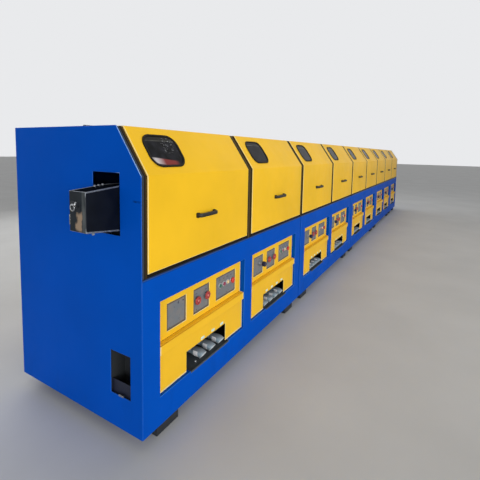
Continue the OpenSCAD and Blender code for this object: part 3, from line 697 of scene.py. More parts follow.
def dark_glass(name, strip_z, first=False):
    """Dark pane: bluish clouds, a paler strip along its upper edge, and smears in the gloss."""
    n = new_finish(name)
    base = n.mix(n.patches(24.0, 5.0, 0.38, 0.72), "121213", "26262c")
    strip = n.ramp(n.z, strip_z, strip_z + 0.004)
    line = n.all_of(strip, n.ramp(n.z, strip_z + 0.006, strip_z + 0.003), n.patches(8.0, 3.0, 0.35, 0.6))
    base = n.mix(line, n.mix(strip, base, "2c2b28"), "77766f")
    if first:
        base = window_glare(n, base)
    return n.finished(
        Base_Color=base,
        Roughness=n.ramp(n.noise(20.0, 5.0, stretch=(1.0, 0.3, 1.0)), 0.4, 0.8, 0.12, 0.30),
        Specular_IOR_Level=0.07)


def wound_steel(name):
    """Ground drum face with the fine grooves that the wire leaves round it."""
    n = new_finish(name)
    inputs = {"Vector": n.place, "Scale": 60.0, "Distortion": 0.4, "Detail": 2.0}
    rings = n.node("TexWave", inputs, bands_direction="Z").outputs["Fac"]
    clouds = n.patches(9.0, 5.0, 0.35, 0.7)
    base = n.mix(clouds, "8f9194", "6b6c6e")
    return n.finished(
        Base_Color=n.mix(n.ramp(rings, 0.4, 0.9, 0.0, 0.25), base, "4c4a47"),
        Roughness=n.ramp(clouds, 0.0, 1.0, 0.24, 0.42),
        Normal=n.bump(rings, 0.25, 0.0008),
        Metallic=0.9)


# Inlet box: its outer end, how its foot climbs towards it, the middle of the tan stain on the
# end, and the height and half length of the dark stretch of its rim
INLET_END_X = inlet_low.x
INLET_FALL = 0.109
STAIN = spot(-0.192, 0.206, 1.245)
RIM_MIDDLE_Z = 1.281
RIM_DARK = (0.070, 0.085)


def inlet_steel(name, code, end_code):
    """Near-black plate of the inlet box, greyer on its outer end, with a tan stain down that end."""
    n = new_finish(name)
    clouds = n.patches(14.0, 5.0, 0.35, 0.7)
    base = n.mix(clouds, code, shade(code, 1.5))
    end = n.ramp(n.x, INLET_END_X + 0.004, INLET_END_X + 0.001)
    base = n.mix(end, base, n.mix(clouds, end_code, shade(end_code, 1.5)))
    streaks = n.ramp(n.noise(20.0, 5.0, stretch=(1.0, 1.0, 0.2)), 0.42, 0.62, 0.15, 0.85)
    rim = n.within(n.y, inlet_low.y, inlet_low.y + 0.022, 0.012)
    base = n.mix(n.all_of(end, rim, streaks), base, "6d7272")
    foot = n.plus(n.z, n.times(n.minus(n.x, NEAR_X), INLET_FALL))
    foot = n.ramp(foot, inlet_low.z + 0.008, inlet_low.z + 0.005)
    base = n.mix(n.all_of(foot, n.ramp(streaks, 0.15, 0.85, 0.5, 1.0)), base, "9494a4")
    wander = n.times(n.minus(n.noise(19.0, 5.0), 0.5), 0.085)
    across = n.within(n.plus(n.y, wander), STAIN[1] - 0.016, STAIN[1] + 0.016, 0.010)
    down = n.within(n.plus(n.z, wander), STAIN[2] - 0.045, STAIN[2] + 0.030, 0.018)
    return n.finished(
        Base_Color=n.mix(n.all_of(end, across, down), base, "a08a74"),
        Roughness=n.ramp(clouds, 0.0, 1.0, 0.42, 0.60),
        Normal=n.bump(n.noise(180.0, 4.0), 0.10, 0.0006),
        Specular_IOR_Level=0.12)


def inlet_rim(name, code, dark_code):
    """Edges of the inlet box, rubbed bright in lengths along its top and foot, dark between them."""
    n = new_finish(name)
    off = n.math("ABSOLUTE", n.minus(n.z, RIM_MIDDLE_Z))
    worn = n.all_of(n.ramp(off, *RIM_DARK), n.patches(24.0, 4.0, 0.32, 0.5, 0.3, 1.0))
    return n.finished(
        Base_Color=n.mix(worn, dark_code, code),
        Roughness=n.ramp(worn, 0.0, 1.0, 0.55, 0.38),
        Metallic=n.ramp(worn, 0.0, 1.0, 0.0, 0.4),
        Normal=n.bump(n.noise(180.0, 4.0), 0.10, 0.0006))


# Layers over the paint: mask, share and colour
IN_CABIN = [(cabin_mask, 1.0, "2d5aa8")]
IN_BASE = [(inside_mask, 1.0, "3a3d40")]
# Painted shade on the base's front: under the hoods' edge, and beside each joint of its sections
BASE_PAINTED_SHADE = [(deck_shade, 0.85, "15263f"), (seam_shade, 0.6, "10244a")]

# The hoods' paint: its second code is the pale painted highlight on their folds
YELLOW = paint("yellow_paint", "fbc622", "ffefb8", "8a6a2a", 0.17)
# The panels' paint takes a pale painted highlight along their rims
PANEL = paint("panel_paint", "fac428", "ffefb8", "8a6a2a", 0.17, [(rim_highlight, 0.75, "ffefb8")])
PANEL_FOLD = panel_fold_paint("panel_fold_paint", "fde79a", "fff2c4", "f2bc36")
CABIN = paint("cabin_paint", "fbc622", "ffefb8", "8a6a2a", 0.10, IN_CABIN)
CABIN_FOLD = fold_paint("cabin_fold_paint", "fde79a", "fff2c4", IN_CABIN)
BLUE = paint("blue_paint", "0050ba", "6ea8ea", "16233f", 0.025, IN_BASE + BASE_PAINTED_SHADE)
# The base's fold paint: a lighter blue painted highlight on its edges, and painted shade on the edge
# under the hoods
BLUE_FOLD = fold_paint("blue_fold_paint", "0c5ac4", "2a74d8", IN_BASE + [(deck_shade, 1.0, "2e3236")])
END_BLUE = paint("end_blue_paint", "0053c2", "6ea8ea", "16233f", 0.025, [(end_smudge, 1.0, "0a2350")])
END_FOLD = end_fold_paint("end_fold_paint", "0a58be", "9cc4f6")
TROUGH_PAINT = rubber("trough_paint", "4a5054", "5c6164")
RUBBER = rubber("black_rubber", "12110d", "24201a")
SEAL = rubber("seal_rubber", "2b2212", "3a2f1a", near_code="352a18")
RIB = rubber("frame_paint", "4e3f20", "5f5030", near_code="3b4149")
DARK_PAINT = rubber("dark_paint", "303236", "45484a")
GREY_PLATE = mottled_plate("plate_steel", "767b80", "84807e", "3d3a3b", "5f4f3a")
BLACK_PLASTIC = plastic("black_plastic", "14130f", 0.46)
NAVY_PLASTIC = plastic("navy_plastic", "1d2240", 0.36)
RED_PLASTIC = plastic("red_plastic", "d0342c", 0.30)
WHEEL_RED = plastic("wheel_red", "b03a38", 0.38)
WHEEL_CAP_HIGHLIGHT = plastic("wheel_cap", "dc8a7c", 0.34)
GREEN_CAP = plastic("green_cap", "2f6a58", 0.30)
PURPLE_CAP = plastic("purple_red_cap", "9a3a58", 0.30)
CREAM_CAP = plastic("cream_cap", "e2c692", 0.30)
MINT_TAG = plastic("mint_tag", "d6eee2", 0.55)
WHITE_TAG = plastic("white_tag", "fafafd", 0.50)
DARK_TAG = plastic("dark_tag", "55525a", 0.50)
GALVANISED = galvanised("galvanised_steel", 0.272)
DARK_STEEL = steel("dark_steel", "2b3038", "15181d", 0.46, metal=0.4, rust=0.2)
WORN_STEEL = steel("worn_edge_steel", "9aa0a8", "6c7076", 0.40, metal=0.5)
BRIGHT_STEEL = steel("bright_steel", "c3c5c7", "8d9094", 0.22)
RING_STEEL = steel("button_ring_steel", "ccd0d2", "b2b6ba", 0.30, metal=0.5)
ALLOY = steel("regulator_alloy", "b4b8bc", "94989c", 0.34, metal=0.8)
DRUM_STEEL = wound_steel("drum_steel")
INLET_STEEL = inlet_steel("inlet_steel", "080c14", "22272c")
INLET_RIM = inlet_rim("inlet_rim_steel", "9aa0a8", "22272c")
HATCH_PLATE = plastic("hatch_plate_paint", "0d152b", 0.6)

# Height at which the paler strip along a pane's upper edge starts
STRIP_Z = window_high.z - 0.030
GLASS = dark_glass("window_glass", STRIP_Z)
FIRST_GLASS = dark_glass("first_window_glass", STRIP_Z, first=True)


def carry_over(finish, *names):
    """CAD nodes whose shape is right take the finish in their material slots."""
    for name in names:
        materials = NODES[name].data.materials
        for index in range(len(materials)):
            materials[index] = finish


carry_over(RUBBER, "deck_gaskets")
carry_over(SEAL, "rib_seals")
carry_over(TROUGH_PAINT, "drain_troughs")
carry_over(DARK_STEEL, "hood_hinges")
carry_over(DRUM_STEEL, "drawing_drums")
carry_over(GLASS, *[f"window_{n}" for n in range(2, BLOCKS + 1)])
carry_over(FIRST_GLASS, "window_1")

for name in NODES:
    if name.startswith("base_section_"):
        dressed(name, [BLUE, BLUE_FOLD], 0.003)
dressed("near_end_panel", [END_BLUE, END_FOLD], 0.0026)
dressed("far_end_panel", [END_BLUE, END_FOLD], 0.0026)
dressed("back_housing", [CABIN, CABIN_FOLD], 0.0015)
dressed("control_panels", [PANEL, PANEL_FOLD], 0.0024, thin=0.006)
dressed("lower_covers", [PANEL, PANEL_FOLD], 0.0018, thin=0.006)
dressed("rib_frames", [RIB], 0.003)
dressed("inlet_box", [INLET_STEEL, INLET_RIM], 0.0018)
dressed("die_boxes", [DARK_STEEL], 0.0015)
dressed("feet", [DARK_PAINT], 0.004)


def rounded_line(corners, radii, steps):
    """Open line through the corners with an arc in place of each inner one.

    At a corner between unit directions d and e, the arc of radius r starts r tan(t/2) before
    it and ends as far after it, t being the turn; its points are the corner's centre plus r
    times the start normal turned by a share of t. Ends with (points, 1 inside an arc or 0).
    """
    points, inside = [np.array(corners[0], float)], [0.0]
    for before, corner, after, r in zip(corners, corners[1:], corners[2:], radii):
        before, corner, after = (np.array(p, float) for p in (before, corner, after))
        d = (corner - before) / np.linalg.norm(corner - before)
        e = (after - corner) / np.linalg.norm(after - corner)
        turn = math.atan2(d[0] * e[1] - d[1] * e[0], float(d @ e))
        start = corner - d * r * math.tan(abs(turn) / 2)
        side = math.copysign(1.0, turn)
        normal = side * np.array([-d[1], d[0]])
        shares = np.linspace(0, turn, steps + 1)
        away = -normal
        turned_away = np.stack([away[0] * np.cos(shares) - away[1] * np.sin(shares),
                                away[0] * np.sin(shares) + away[1] * np.cos(shares)], axis=1)
        points += list(start + normal * r + turned_away * r)
        inside += [0.0] + [1.0] * (steps - 1) + [0.0]
    points.append(np.array(corners[-1], float))
    return np.array(points), np.array(inside + [0.0])


ARC_STEPS = 5
# Share of the pale painted highlight on the hood's foot, knee and upper corner arcs, and on its side
# folds
FOLD_HIGHLIGHTS = (0.9, 0.0, 0.35)
SIDE_HIGHLIGHT = 0.7


def hood_section(inset, foot_z, back):
    """Side outline (y, z) of a hood moved inwards by inset, with its corners rounded.

    The knee and the upper corner keep their mitre under the inset; each arc's radius shrinks
    by it. Ends with (points, share of the pale painted highlight, number of the slope's first point).
    """
    foot = max(HOOD_FOOT_EDGE, inset + FOLD_R + 0.001)
    corners = [
        (foot, foot_z),
        (inset, foot_z),
        (inset, KNEE_Z - inset * math.tan(math.pi / 4 - SLOPE_A / 2)),
        (SLOPE_Y + inset * math.tan(SLOPE_A / 2), TOP_Z - inset),
        (back, TOP_Z - inset),
    ]
    radii = [FOLD_R, max(KNEE_R - inset, 0.001), max(FOLD_R - inset, 0.001)]
    points, inside = rounded_line(corners, radii, ARC_STEPS)
    inside[1:] *= np.repeat([*FOLD_HIGHLIGHTS, 0.0], ARC_STEPS + 1)[:len(inside) - 1]
    slope_start = 2 * (ARC_STEPS + 1)
    slope = np.linspace(points[slope_start], points[slope_start + 1], WINDOW_ROWS + 1)[1:-1]
    points = np.concatenate([points[:slope_start + 1], slope, points[slope_start + 1:]])
    inside = np.concatenate([inside[:slope_start + 1], np.zeros(len(slope)), inside[slope_start + 1:]])
    return points, inside, slope_start


WINDOW_MARGIN = 0.10


def hood_columns(x0, x1, window_x):
    """Columns (x, inset, 1 on a fold) across a hood, and how many come before the window's.

    They run from one side's edge over its arc to the flat, and down the other side's arc.
    """
    turns = np.linspace(0, math.pi / 2, ARC_STEPS + 1)
    arc = np.stack([FOLD_R * (1 - np.sin(turns)[::-1]), FOLD_R * (1 - np.cos(turns)[::-1])], axis=1)
    side = [(0.0, HOOD_EDGE, 0.0)] + [(a, b, float(0 < k < ARC_STEPS)) for k, (a, b) in enumerate(arc)]
    left = [(x0 + x, inset, fold) for x, inset, fold in side]
    right = [(x1 - x, inset, fold) for x, inset, fold in reversed(side)]
    half = (WINDOW[0] + WINDOW_MARGIN) / 2
    flat = [(x, 0.0, 0.0) for x in np.linspace(window_x - half, window_x + half, WINDOW_COLUMNS + 1)]
    return np.array(left + flat + right), len(left)


def rounded_rect_distance(p, w, h, r):
    """Signed distance of points p to a rectangle w by h with corner radius r, centred on the origin."""
    q = np.abs(p) - np.array([w / 2 - r, h / 2 - r])
    return np.linalg.norm(np.maximum(q, 0), axis=-1) + np.minimum(q.max(axis=-1), 0) - r


def rounded_rect_ray(directions, w, h, r):
    """Where rays from the middle meet a rounded rectangle, by halving an interval 40 times."""
    low, high = np.zeros(len(directions)), np.full(len(directions), w + h)
    for _ in range(40):
        middle = (low + high) / 2
        outside = rounded_rect_distance(directions * middle[:, None], w, h, r) > 0
        high, low = np.where(outside, middle, high), np.where(outside, low, middle)
    return directions * low[:, None]


def hood_sheet(n):
    """Folded hood: the side outline at each column's inset, with a rounded opening in the slope.

    The quads under the window are left out. Rings of points run from the edge of that gap to
    the opening, each a share of the way along the ray from the window's middle.
    """
    low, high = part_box(f"hood_{n}")
    middle = window_middle(n)
    roof = mesh_points(f"hood_{n}")
    back = roof[np.isclose(roof[:, 2], TOP_Z, atol=1e-4), 1].max() - FRONT_Y
    columns, first = hood_columns(low.x, high.x, middle[0])
    sections = [hood_section(inset, low.z, back) for _, inset, _ in columns]
    outline = np.array([s[0] for s in sections])
    slope_start = sections[0][2]
    x = np.broadcast_to(columns[:, None, :1], outline.shape[:2] + (1,))
    points = np.concatenate([x, outline[..., :1] + FRONT_Y, outline[..., 1:]], axis=-1)
    # Pale painted highlight on the side folds and on the outline's arcs
    fold = np.maximum(SIDE_HIGHLIGHT * columns[:, 2][:, None], sections[0][1][None, :])
    rows, across = points.shape[1], len(columns)
    quads = grid_faces(across, rows, wrap_columns=False)
    i, j = quads[:, 0] // rows, quads[:, 0] % rows
    in_gap = (i >= first) & (i < first + WINDOW_COLUMNS)
    in_gap &= (j >= slope_start) & (j < slope_start + WINDOW_ROWS)
    quads = quads[~in_gap]
    c, r = first + np.arange(WINDOW_COLUMNS + 1), slope_start + np.arange(WINDOW_ROWS + 1)
    rim = np.concatenate([c[:-1] * rows + r[0], c[-1] * rows + r[:-1],
                          c[:0:-1] * rows + r[-1], c[0] * rows + r[:0:-1]])
    flat = points.reshape(-1, 3)
    up_slope = ON_SLOPE[:, 1]
    local = np.stack([flat[rim][:, 0] - middle[0], (flat[rim] - middle) @ up_slope], axis=1)
    inner = rounded_rect_ray(local / np.linalg.norm(local, axis=1)[:, None], *WINDOW)
    rings = [local + (inner - local) * share for share in (0.35, 0.7, 1.0)]
    ring_points = np.concatenate([middle + p[:, :1] * [1.0, 0, 0] + p[:, 1:] * up_slope for p in rings])
    size, start = len(rim), len(flat)
    loops = np.concatenate([rim, start + np.arange(3 * size)]).reshape(4, size)
    a, b = loops[:-1], loops[1:]
    ring_quads = np.stack([a, np.roll(a, -1, axis=1), np.roll(b, -1, axis=1), b], axis=-1).reshape(-1, 4)
    faces = np.concatenate([quads[:, ::-1], ring_quads])
    part = (np.concatenate([flat, ring_points]), faces)
    fold = np.concatenate([fold.reshape(-1), np.zeros(3 * size)])
    piece = new_piece(f"hood_{n}_sheet", part, YELLOW, f"hood_body_{n}",
                      [f"hood_{n}"], fold)
    wall = piece.modifiers.new("sheet_thickness", "SOLIDIFY")
    wall.thickness = SHEET
    wall.offset = -1.0
    wall.use_even_offset = True
    return piece


def window_middle(n):
    """Middle of a window opening on the hood's sloping face."""
    low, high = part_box(f"window_{n}")
    return np.array([(low.x + high.x) / 2, FRONT_Y + SLOPE_Y / 2, (KNEE_Z + TOP_Z) / 2])


WASHER_T = 0.0015


def hex_bolt(across, head):
    """Hexagon head with a chamfer on a washer: a six-sided turn over a round one."""
    r = across / 2 / math.cos(math.pi / 6)
    washer = turned([(r * 1.15, 0), (r * 1.15, WASHER_T)], 24)
    cap = turned([(r, WASHER_T), (r, WASHER_T + 0.8 * head), (0.84 * r, WASHER_T + head)], 6)
    return joined([washer, cap])


def socket_screw(d, h):
    """Domed head with a round socket in its middle."""
    return turned([(d / 2, 0), *dome(d / 2, 0.3 * h, h)[:-1], (0.24 * d, h), (0.22 * d, 0.45 * h)], 18)


# Rubber on the window's edge, and the filler strip in its groove
RUBBER_SECTION = [
    (RUBBER_OUT, 0.0), (RUBBER_OUT - 0.0006, 0.0028), (RUBBER_OUT - 0.0025, 0.0046), (0.0035, RUBBER_T),
    (0.0018, 0.0040), (-0.0005, 0.0040), (-0.0020, RUBBER_T), (-0.0045, 0.0040), (-RUBBER_IN, 0.0014),
    (-RUBBER_IN, 0.0),
]
FILLER = (4, 5)


def window_rubber(n):
    """Rubber section carried round the opening; a counts outwards, so it is turned to face inwards."""
    outline = round_rect(*WINDOW, steps=12)
    flat = np.column_stack([outline, np.zeros(len(outline))])
    path = placed((flat, None), ON_SLOPE, window_middle(n))[0]
    section = [(-a, b) for a, b in reversed(RUBBER_SECTION)]
    part = swept(path, section, ON_SLOPE[:, 2], closed=True)
    tone = np.zeros(len(section))
    tone[[len(section) - 1 - i for i in FILLER]] = 0.8
    new_piece(f"hood_{n}_window_rubber", part, RUBBER, f"hood_body_{n}",
              [f"hood_trim_{n}"], np.tile(tone, len(path)))


HANDLE_T = 0.017
HANDLE_BEND = 0.018
HANDLE_FOOT = (0.022, 0.030, 0.014)
HANDLE_OVAL = 0.7


def hood_handle(n):
    """Bridge handle: an oval section carried along a bar with rounded bends between two feet."""
    low, high = solids(f"hood_trim_{n}")[-1]
    x0, x1, z = low[0] + HANDLE_T / 2, high[0] - HANDLE_T / 2, (low[2] + high[2]) / 2
    out = low[1] + HANDLE_T / 2
    corners = [(x0, FRONT_Y), (x0, out), (x1, out), (x1, FRONT_Y)]
    line, _ = rounded_line(corners, [HANDLE_BEND, HANDLE_BEND], 8)
    path = np.column_stack([line, np.full(len(line), z)])
    u = np.linspace(0, 2 * math.pi, 20, endpoint=False)
    shape = np.column_stack([np.cos(u), np.sin(u)])
    half = np.array([HANDLE_T, high[2] - low[2]]) / 2
    bar = swept(path, np.sign(shape) * np.abs(shape) ** HANDLE_OVAL * half, (0, 0, 1))
    inward = (HANDLE_FOOT[0] - HANDLE_T) / 2
    places = [(x0 + inward, FRONT_Y, z), (x1 - inward, FRONT_Y, z)]
    feet = copies(placed(plate(*HANDLE_FOOT, 0.006), TO_FRONT), places)
    new_piece(f"hood_{n}_handle", joined([bar, feet]), BLACK_PLASTIC, f"hood_body_{n}")


HINGES = solids("hood_hinges")
BARREL = (0.022, 0.060)
PIN_BORE = 0.0122
LEAF = (0.060, 0.034, 0.005)


def hood_hinge_halves(n):
    """Moving halves of a hood's two hinges: a bored barrel round the pin, and a screwed leaf."""
    boxes = HINGES[2 * n - 2:2 * n]
    outer, bore, half = BARREL[0] / 2, PIN_BORE / 2, BARREL[1] / 2
    barrel = turned([(bore, -half), (outer - 0.001, -half), (outer, 0.001 - half), (outer, half - 0.001),
                     (outer - 0.001, half), (bore, half)], 32, ring=True)
    leaf = plate(LEAF[0], LEAF[1] - outer / 2, LEAF[2], 0.003)
    screws = copies(socket_screw(0.009, 0.0022), [(side * 0.018, -0.002, LEAF[2]) for side in (-1, 1)])
    parts = []
    for low, high in boxes:
        x = (low[0] + high[0]) / 2
        y = low[1] + BARREL[0] / 2
        parts.append(placed(barrel, TO_FAR_END, (x, y, high[2] - outer)))
        parts.append(placed(joined([leaf, screws]), UPRIGHT, (x, y - LEAF[1] / 2 - outer / 4, TOP_Z)))
    new_piece(f"hood_{n}_hinge_halves", joined(parts), DARK_STEEL, f"hood_body_{n}")


for n in range(1, BLOCKS + 1):
    hood_sheet(n)
    window_rubber(n)
    hood_handle(n)
    hood_hinge_halves(n)


# Rings of a front plate from its back to its face: inset, share of the thickness, and tone, the share of
# the brown painted shadow of the cut-out's edge
SHADOWED_BORDER = ((0.0, 0.0, 1.0), (0.0, 1.0, 1.0), (0.010, 1.0, 1.0), (0.017, 1.0, 0.9), (0.022, 1.0, 0.0))


def front_plates():
    """Instrument plates behind the panels' cut-outs; the brown painted shadow of the cut-out's edge is a
    ring of the second tone.
    """
    parts, tones = [], []
    for low, high in solids("instrument_plates"):
        w, t, h = high - low
        rings = []
        for inset, share, tone in SHADOWED_BORDER:
            outline = round_rect(w - 2 * inset, h - 2 * inset, 0.003, 2)
            rings.append(np.column_stack([outline, np.full(len(outline), share * t)]))
            tones += [tone] * len(outline)
        tones += [1.0, 0.0]
        parts.append(placed(closed_stack(np.array(rings)), TO_FRONT, mid_face(low, high, high[1])))
    new_piece("instrument_plate_faces", joined(parts), GREY_PLATE,
              replaces=["instrument_plates"], fold=tones)


def panel_spots(node):
    """Where each fitting of a node stands on its plate: the middle of its rear face."""
    return np.array([mid_face(low, high, high[1]) for low, high in solids(node)])


def on_front(name, part, spots, finish, replaces=()):
    """Piece of the part at each spot, turned to face the operator."""
    new_piece(name, copies(placed(part, TO_FRONT), spots), finish, replaces=replaces)


TAG = (0.017, 0.0055, 0.0010)
TAG_UP = 0.040
PLUGS_AT = [spot(0.326, 0.042, 0.690), spot(0.371, 0.042, 0.692)]
CAPS = (("green", GREEN_CAP), ("purple", PURPLE_CAP), ("cream", CREAM_CAP))


def push_buttons():
    """Metal collars with coloured caps, one colour for each place on a panel."""
    spots = panel_spots("push_buttons")
    collar = turned([(0.0127, 0.0), (0.0180, 0.0), (0.0180, 0.0030), (0.0168, 0.0048),
                     (0.0146, 0.0052), (0.0134, 0.0044), (0.0127, 0.0030)], 28, ring=True)
    on_front("push_button_collars", collar, spots, RING_STEEL, ["push_buttons"])
    cap = turned([(0.0125, 0.0), (0.0125, 0.0095), *dome(0.0121, 0.0100, 0.0128, 4)], 24)
    for k, (name, finish) in enumerate(CAPS):
        on_front(f"push_button_caps_{name}", cap, spots[k::len(CAPS)], finish)


def stop_buttons():
    """Mushroom heads on short necks over a metal collar."""
    spots = panel_spots("stop_buttons")
    collar = turned([(0.0115, 0.0), (0.0185, 0.0), (0.0185, 0.0045), (0.0172, 0.0062),
                     (0.0125, 0.0066), (0.0115, 0.0055)], 28, ring=True)
    on_front("stop_button_collars", collar, spots, RING_STEEL, ["stop_buttons"])
    head = turned([(0.0112, 0.0), (0.0112, 0.0120), (0.0190, 0.0142), (0.0206, 0.0160),
                   (0.0210, 0.0185), (0.0204, 0.0208), *dome(0.0196, 0.0218, 0.0258, 5)], 30)
    on_front("stop_button_heads", head, spots, RED_PLASTIC)


WHEEL_R = 0.0215
WHEEL_LOBE = 0.0008
RIM_R = 0.0052
WHEEL_H = 0.0215


def wheel_rim():
    """Ring of tube radius RIM_R round a circle whose radius is WHEEL_R + WHEEL_LOBE cos 8t."""
    t = np.linspace(0, 2 * math.pi, 48, endpoint=False)
    r = WHEEL_R + WHEEL_LOBE * np.cos(8 * t)
    path = np.column_stack([r * np.cos(t), r * np.sin(t), np.full(len(t), WHEEL_H - RIM_R)])
    return swept(path, circle(2 * RIM_R, 10), (0, 0, 1), closed=True)


def valve_wheels():
    """Lobed handwheels with five spokes on a hub, each over its gland and stem."""
    spots = panel_spots("valve_wheels")
    parts = [wheel_rim()]
    spoke = round_rect(0.0075, 0.0046, 0.0014, 1)
    stations = ((0.006, 0.0165), (0.014, 0.0160), (WHEEL_R, WHEEL_H - RIM_R))
    for t in np.arange(5) * 2 * math.pi / 5 + math.pi / 2:
        out = np.array([math.cos(t), math.sin(t), 0.0])
        parts.append(swept([out * r + [0, 0, z] for r, z in stations], spoke, (0, 0, 1)))
    parts.append(turned([(0.0070, 0.0105), (0.0100, 0.0125), (0.0100, 0.0180), (0.0090, 0.0190)], 20))
    on_front("valve_wheel_rims", joined(parts), spots, WHEEL_RED, ["valve_wheels"])
    # The hub's cap is a paler copy of the wheel's red: a painted highlight
    cap = turned([(0.0070, 0.0186), (0.0070, 0.0198), *dome(0.0066, 0.0200, WHEEL_H, 3)], 16)
    on_front("valve_wheel_caps", cap, spots, WHEEL_CAP_HIGHLIGHT)
    gland = joined([turned([(0.0115, 0.0), (0.0115, 0.0040), (0.0100, 0.0056)], 6),
                    turned([(0.0072, 0.0050), (0.0072, 0.0085)], 16),
                    turned([(0.0040, 0.0080), (0.0040, 0.0110)], 14)])
    on_front("valve_glands", gland, spots, RING_STEEL)


def regulators():
    """Pressure regulators: alloy body with a lock lever, and a ribbed knob with a stepped end."""
    spots = panel_spots("regulators")
    body = turned([(0.0170, 0.0), (0.0170, 0.0060), (0.0155, 0.0075), (0.0155, 0.0180),
                   (0.0145, 0.0200)], 28)
    neck = turned([(0.0125, 0.0190), (0.0125, 0.0300)], 24)
    lever = placed(plate(0.034, 0.0075, 0.0030, 0.0034, 0.0006, 3), UPRIGHT, (0.002, 0.0, 0.0225))
    body = joined([body, neck, lever])
    on_front("regulator_bodies", body, spots, ALLOY, ["regulators"])
    knob = turned([(0.0185, 0.0290), (0.0208, 0.0302), (0.0208, 0.0520), (0.0200, 0.0545)], 96,
                  flutes=24, depth=0.05)
    crown = turned([(0.0178, 0.0540), (0.0178, 0.0562), (0.0166, 0.0576), (0.0120, 0.0578),
                    (0.0112, 0.0568)], 30)
    on_front("regulator_knobs", joined([knob, crown]), spots, NAVY_PLASTIC)


def panel_tags():
    """Small blank tags on the plates, above every fitting, and two plugs on the first plate."""
    fittings = ("push_buttons", "stop_buttons", "valve_wheels", "regulators")
    tags = np.concatenate([panel_spots(node) for node in fittings]) + [0, 0, TAG_UP]
    on_front("blank_tags", plate(*TAG, 0.0012, 0.0003, 2), tags, DARK_TAG)
    plug = turned([(0.0050, 0.0), (0.0050, 0.0012), *dome(0.0046, 0.0014, 0.0034, 3)], 16)
    on_front("plate_plugs", plug, PLUGS_AT, NAVY_PLASTIC)


front_plates()
push_buttons()
stop_buttons()
valve_wheels()
regulators()
panel_tags()


# Coolant pipes: the pipe in the CAD model, where it and its sleeve end, and the bend
PIPE_R = 0.026
PIPE_BACK = 0.258
SLEEVE_END = 0.056
SLEEVE_R = 0.0285
BEND_R = 0.040
BEND = math.radians(38)

# Blank patches on the sleeves: length and half the thickness, then half the angle that they
# cover, how far below level their middle is, their radius, and their depth behind the front
PATCH = (0.034, 0.0009)
PATCH_TURN = math.radians(50)
PATCH_DOWN = 0.30
PATCH_R = SLEEVE_R + 0.0003
PATCH_BACK = 0.072

# Tags on the covers above the pipes: their plate, their place from each pipe, and how far
# the first three and the others are moved in x; then the bolt in the free place
COVER_TAG = (0.036, 0.017, 0.0010, 0.003)
COVER_Y = 0.018
MINT_UP = 0.123
FIRST_TAGS = (-0.022, -0.012, -0.011)
LATER_TAGS = -0.015
BOLT_AT = spot(0.504, 0.046, 0.229)


def pipe_axes():
    """Middles of the coolant pipes, at the machine's front."""
    boxes = solids("coolant_pipes")
    return np.array([((low[0] + high[0]) / 2, FRONT_Y, high[2] - PIPE_R) for low, high in boxes])


def coolant_pipes():
    """Return pipes: a straight pipe, a wider sleeve, and its bend down to a rimmed, hollow mouth.

    Each ring has its middle, the direction of the pipe there, and its radius. On the bend the
    middle is the sleeve's end plus BEND_R (sin u, 1 - cos u), forwards and downwards, and the
    direction (cos u, sin u); the mouth's rings follow along the last direction.
    """
    u = np.linspace(0, BEND, 8)
    bend = np.column_stack([SLEEVE_END - BEND_R * np.sin(u), -BEND_R * (1 - np.cos(u))])
    last = np.array([-math.cos(BEND), -math.sin(BEND)])
    straight = [(PIPE_BACK, 0.023), (0.1065, 0.023), (0.1050, SLEEVE_R - 0.0015), (0.1025, SLEEVE_R)]
    mouth = [(0.0002, SLEEVE_R + 0.001), (0.0030, SLEEVE_R + 0.001), (0.0034, SLEEVE_R - 0.002),
             (-0.0120, SLEEVE_R - 0.0025)]
    ends = [bend[-1] + last * s for s, _ in mouth]
    middles = np.concatenate([[(y, 0.0) for y, _ in straight], bend, ends])
    turns = np.concatenate([np.zeros(len(straight)), u, np.full(len(mouth), BEND)])
    radii = np.concatenate([[r for _, r in straight], np.full(len(u), SLEEVE_R), [r for _, r in mouth]])
    t = np.linspace(0, 2 * math.pi, 28, endpoint=False)
    across = np.array([1.0, 0, 0])
    ahead = np.column_stack([np.zeros(len(turns)), -np.cos(turns), -np.sin(turns)])
    other = np.cross(ahead, across)
    middles = np.column_stack([np.zeros(len(middles)), middles])
    rings = middles[:, None] + radii[:, None, None] * (
        np.cos(t)[None, :, None] * across + np.sin(t)[None, :, None] * other[:, None])
    # The rings of the mouth's rim carry the pipe's pale painted highlight
    tone = np.zeros(len(radii))
    tone[-len(mouth):-1] = 1.0
    tone = np.concatenate([np.repeat(tone, len(t)), [0.0, 0.0]])
    axes = pipe_axes()
    new_piece("coolant_pipe_bends", copies(closed_stack(rings), axes), GALVANISED,
              replaces=["coolant_pipes"], fold=np.tile(tone, len(axes)))


def pipe_marks():
    """Blank patch bent round each pipe's near side, and a mint tag on the cover above it."""
    t = math.pi + PATCH_DOWN + np.linspace(-PATCH_TURN, PATCH_TURN, 9)
    path = np.column_stack([PATCH_R * np.cos(t), np.zeros(len(t)), PATCH_R * np.sin(t)])
    patch = swept(path, round_rect(2 * PATCH[1], PATCH[0], 0.0004, 1), (0, 1, 0))
    axes = pipe_axes()
    new_piece("pipe_patches", copies(patch, axes + [0, PATCH_BACK, 0]), WHITE_TAG)
    axes += [0, COVER_Y, MINT_UP]
    axes[:3, 0] += FIRST_TAGS
    axes[3:, 0] += LATER_TAGS
    on_front("cover_tags", plate(*COVER_TAG, 0.0003, 3), axes, MINT_TAG)
    bolt = placed(hex_bolt(0.013, 0.007), UPRIGHT, BOLT_AT)
    new_piece("trough_bolt", bolt, BRIGHT_STEEL)


coolant_pipes()
pipe_marks()


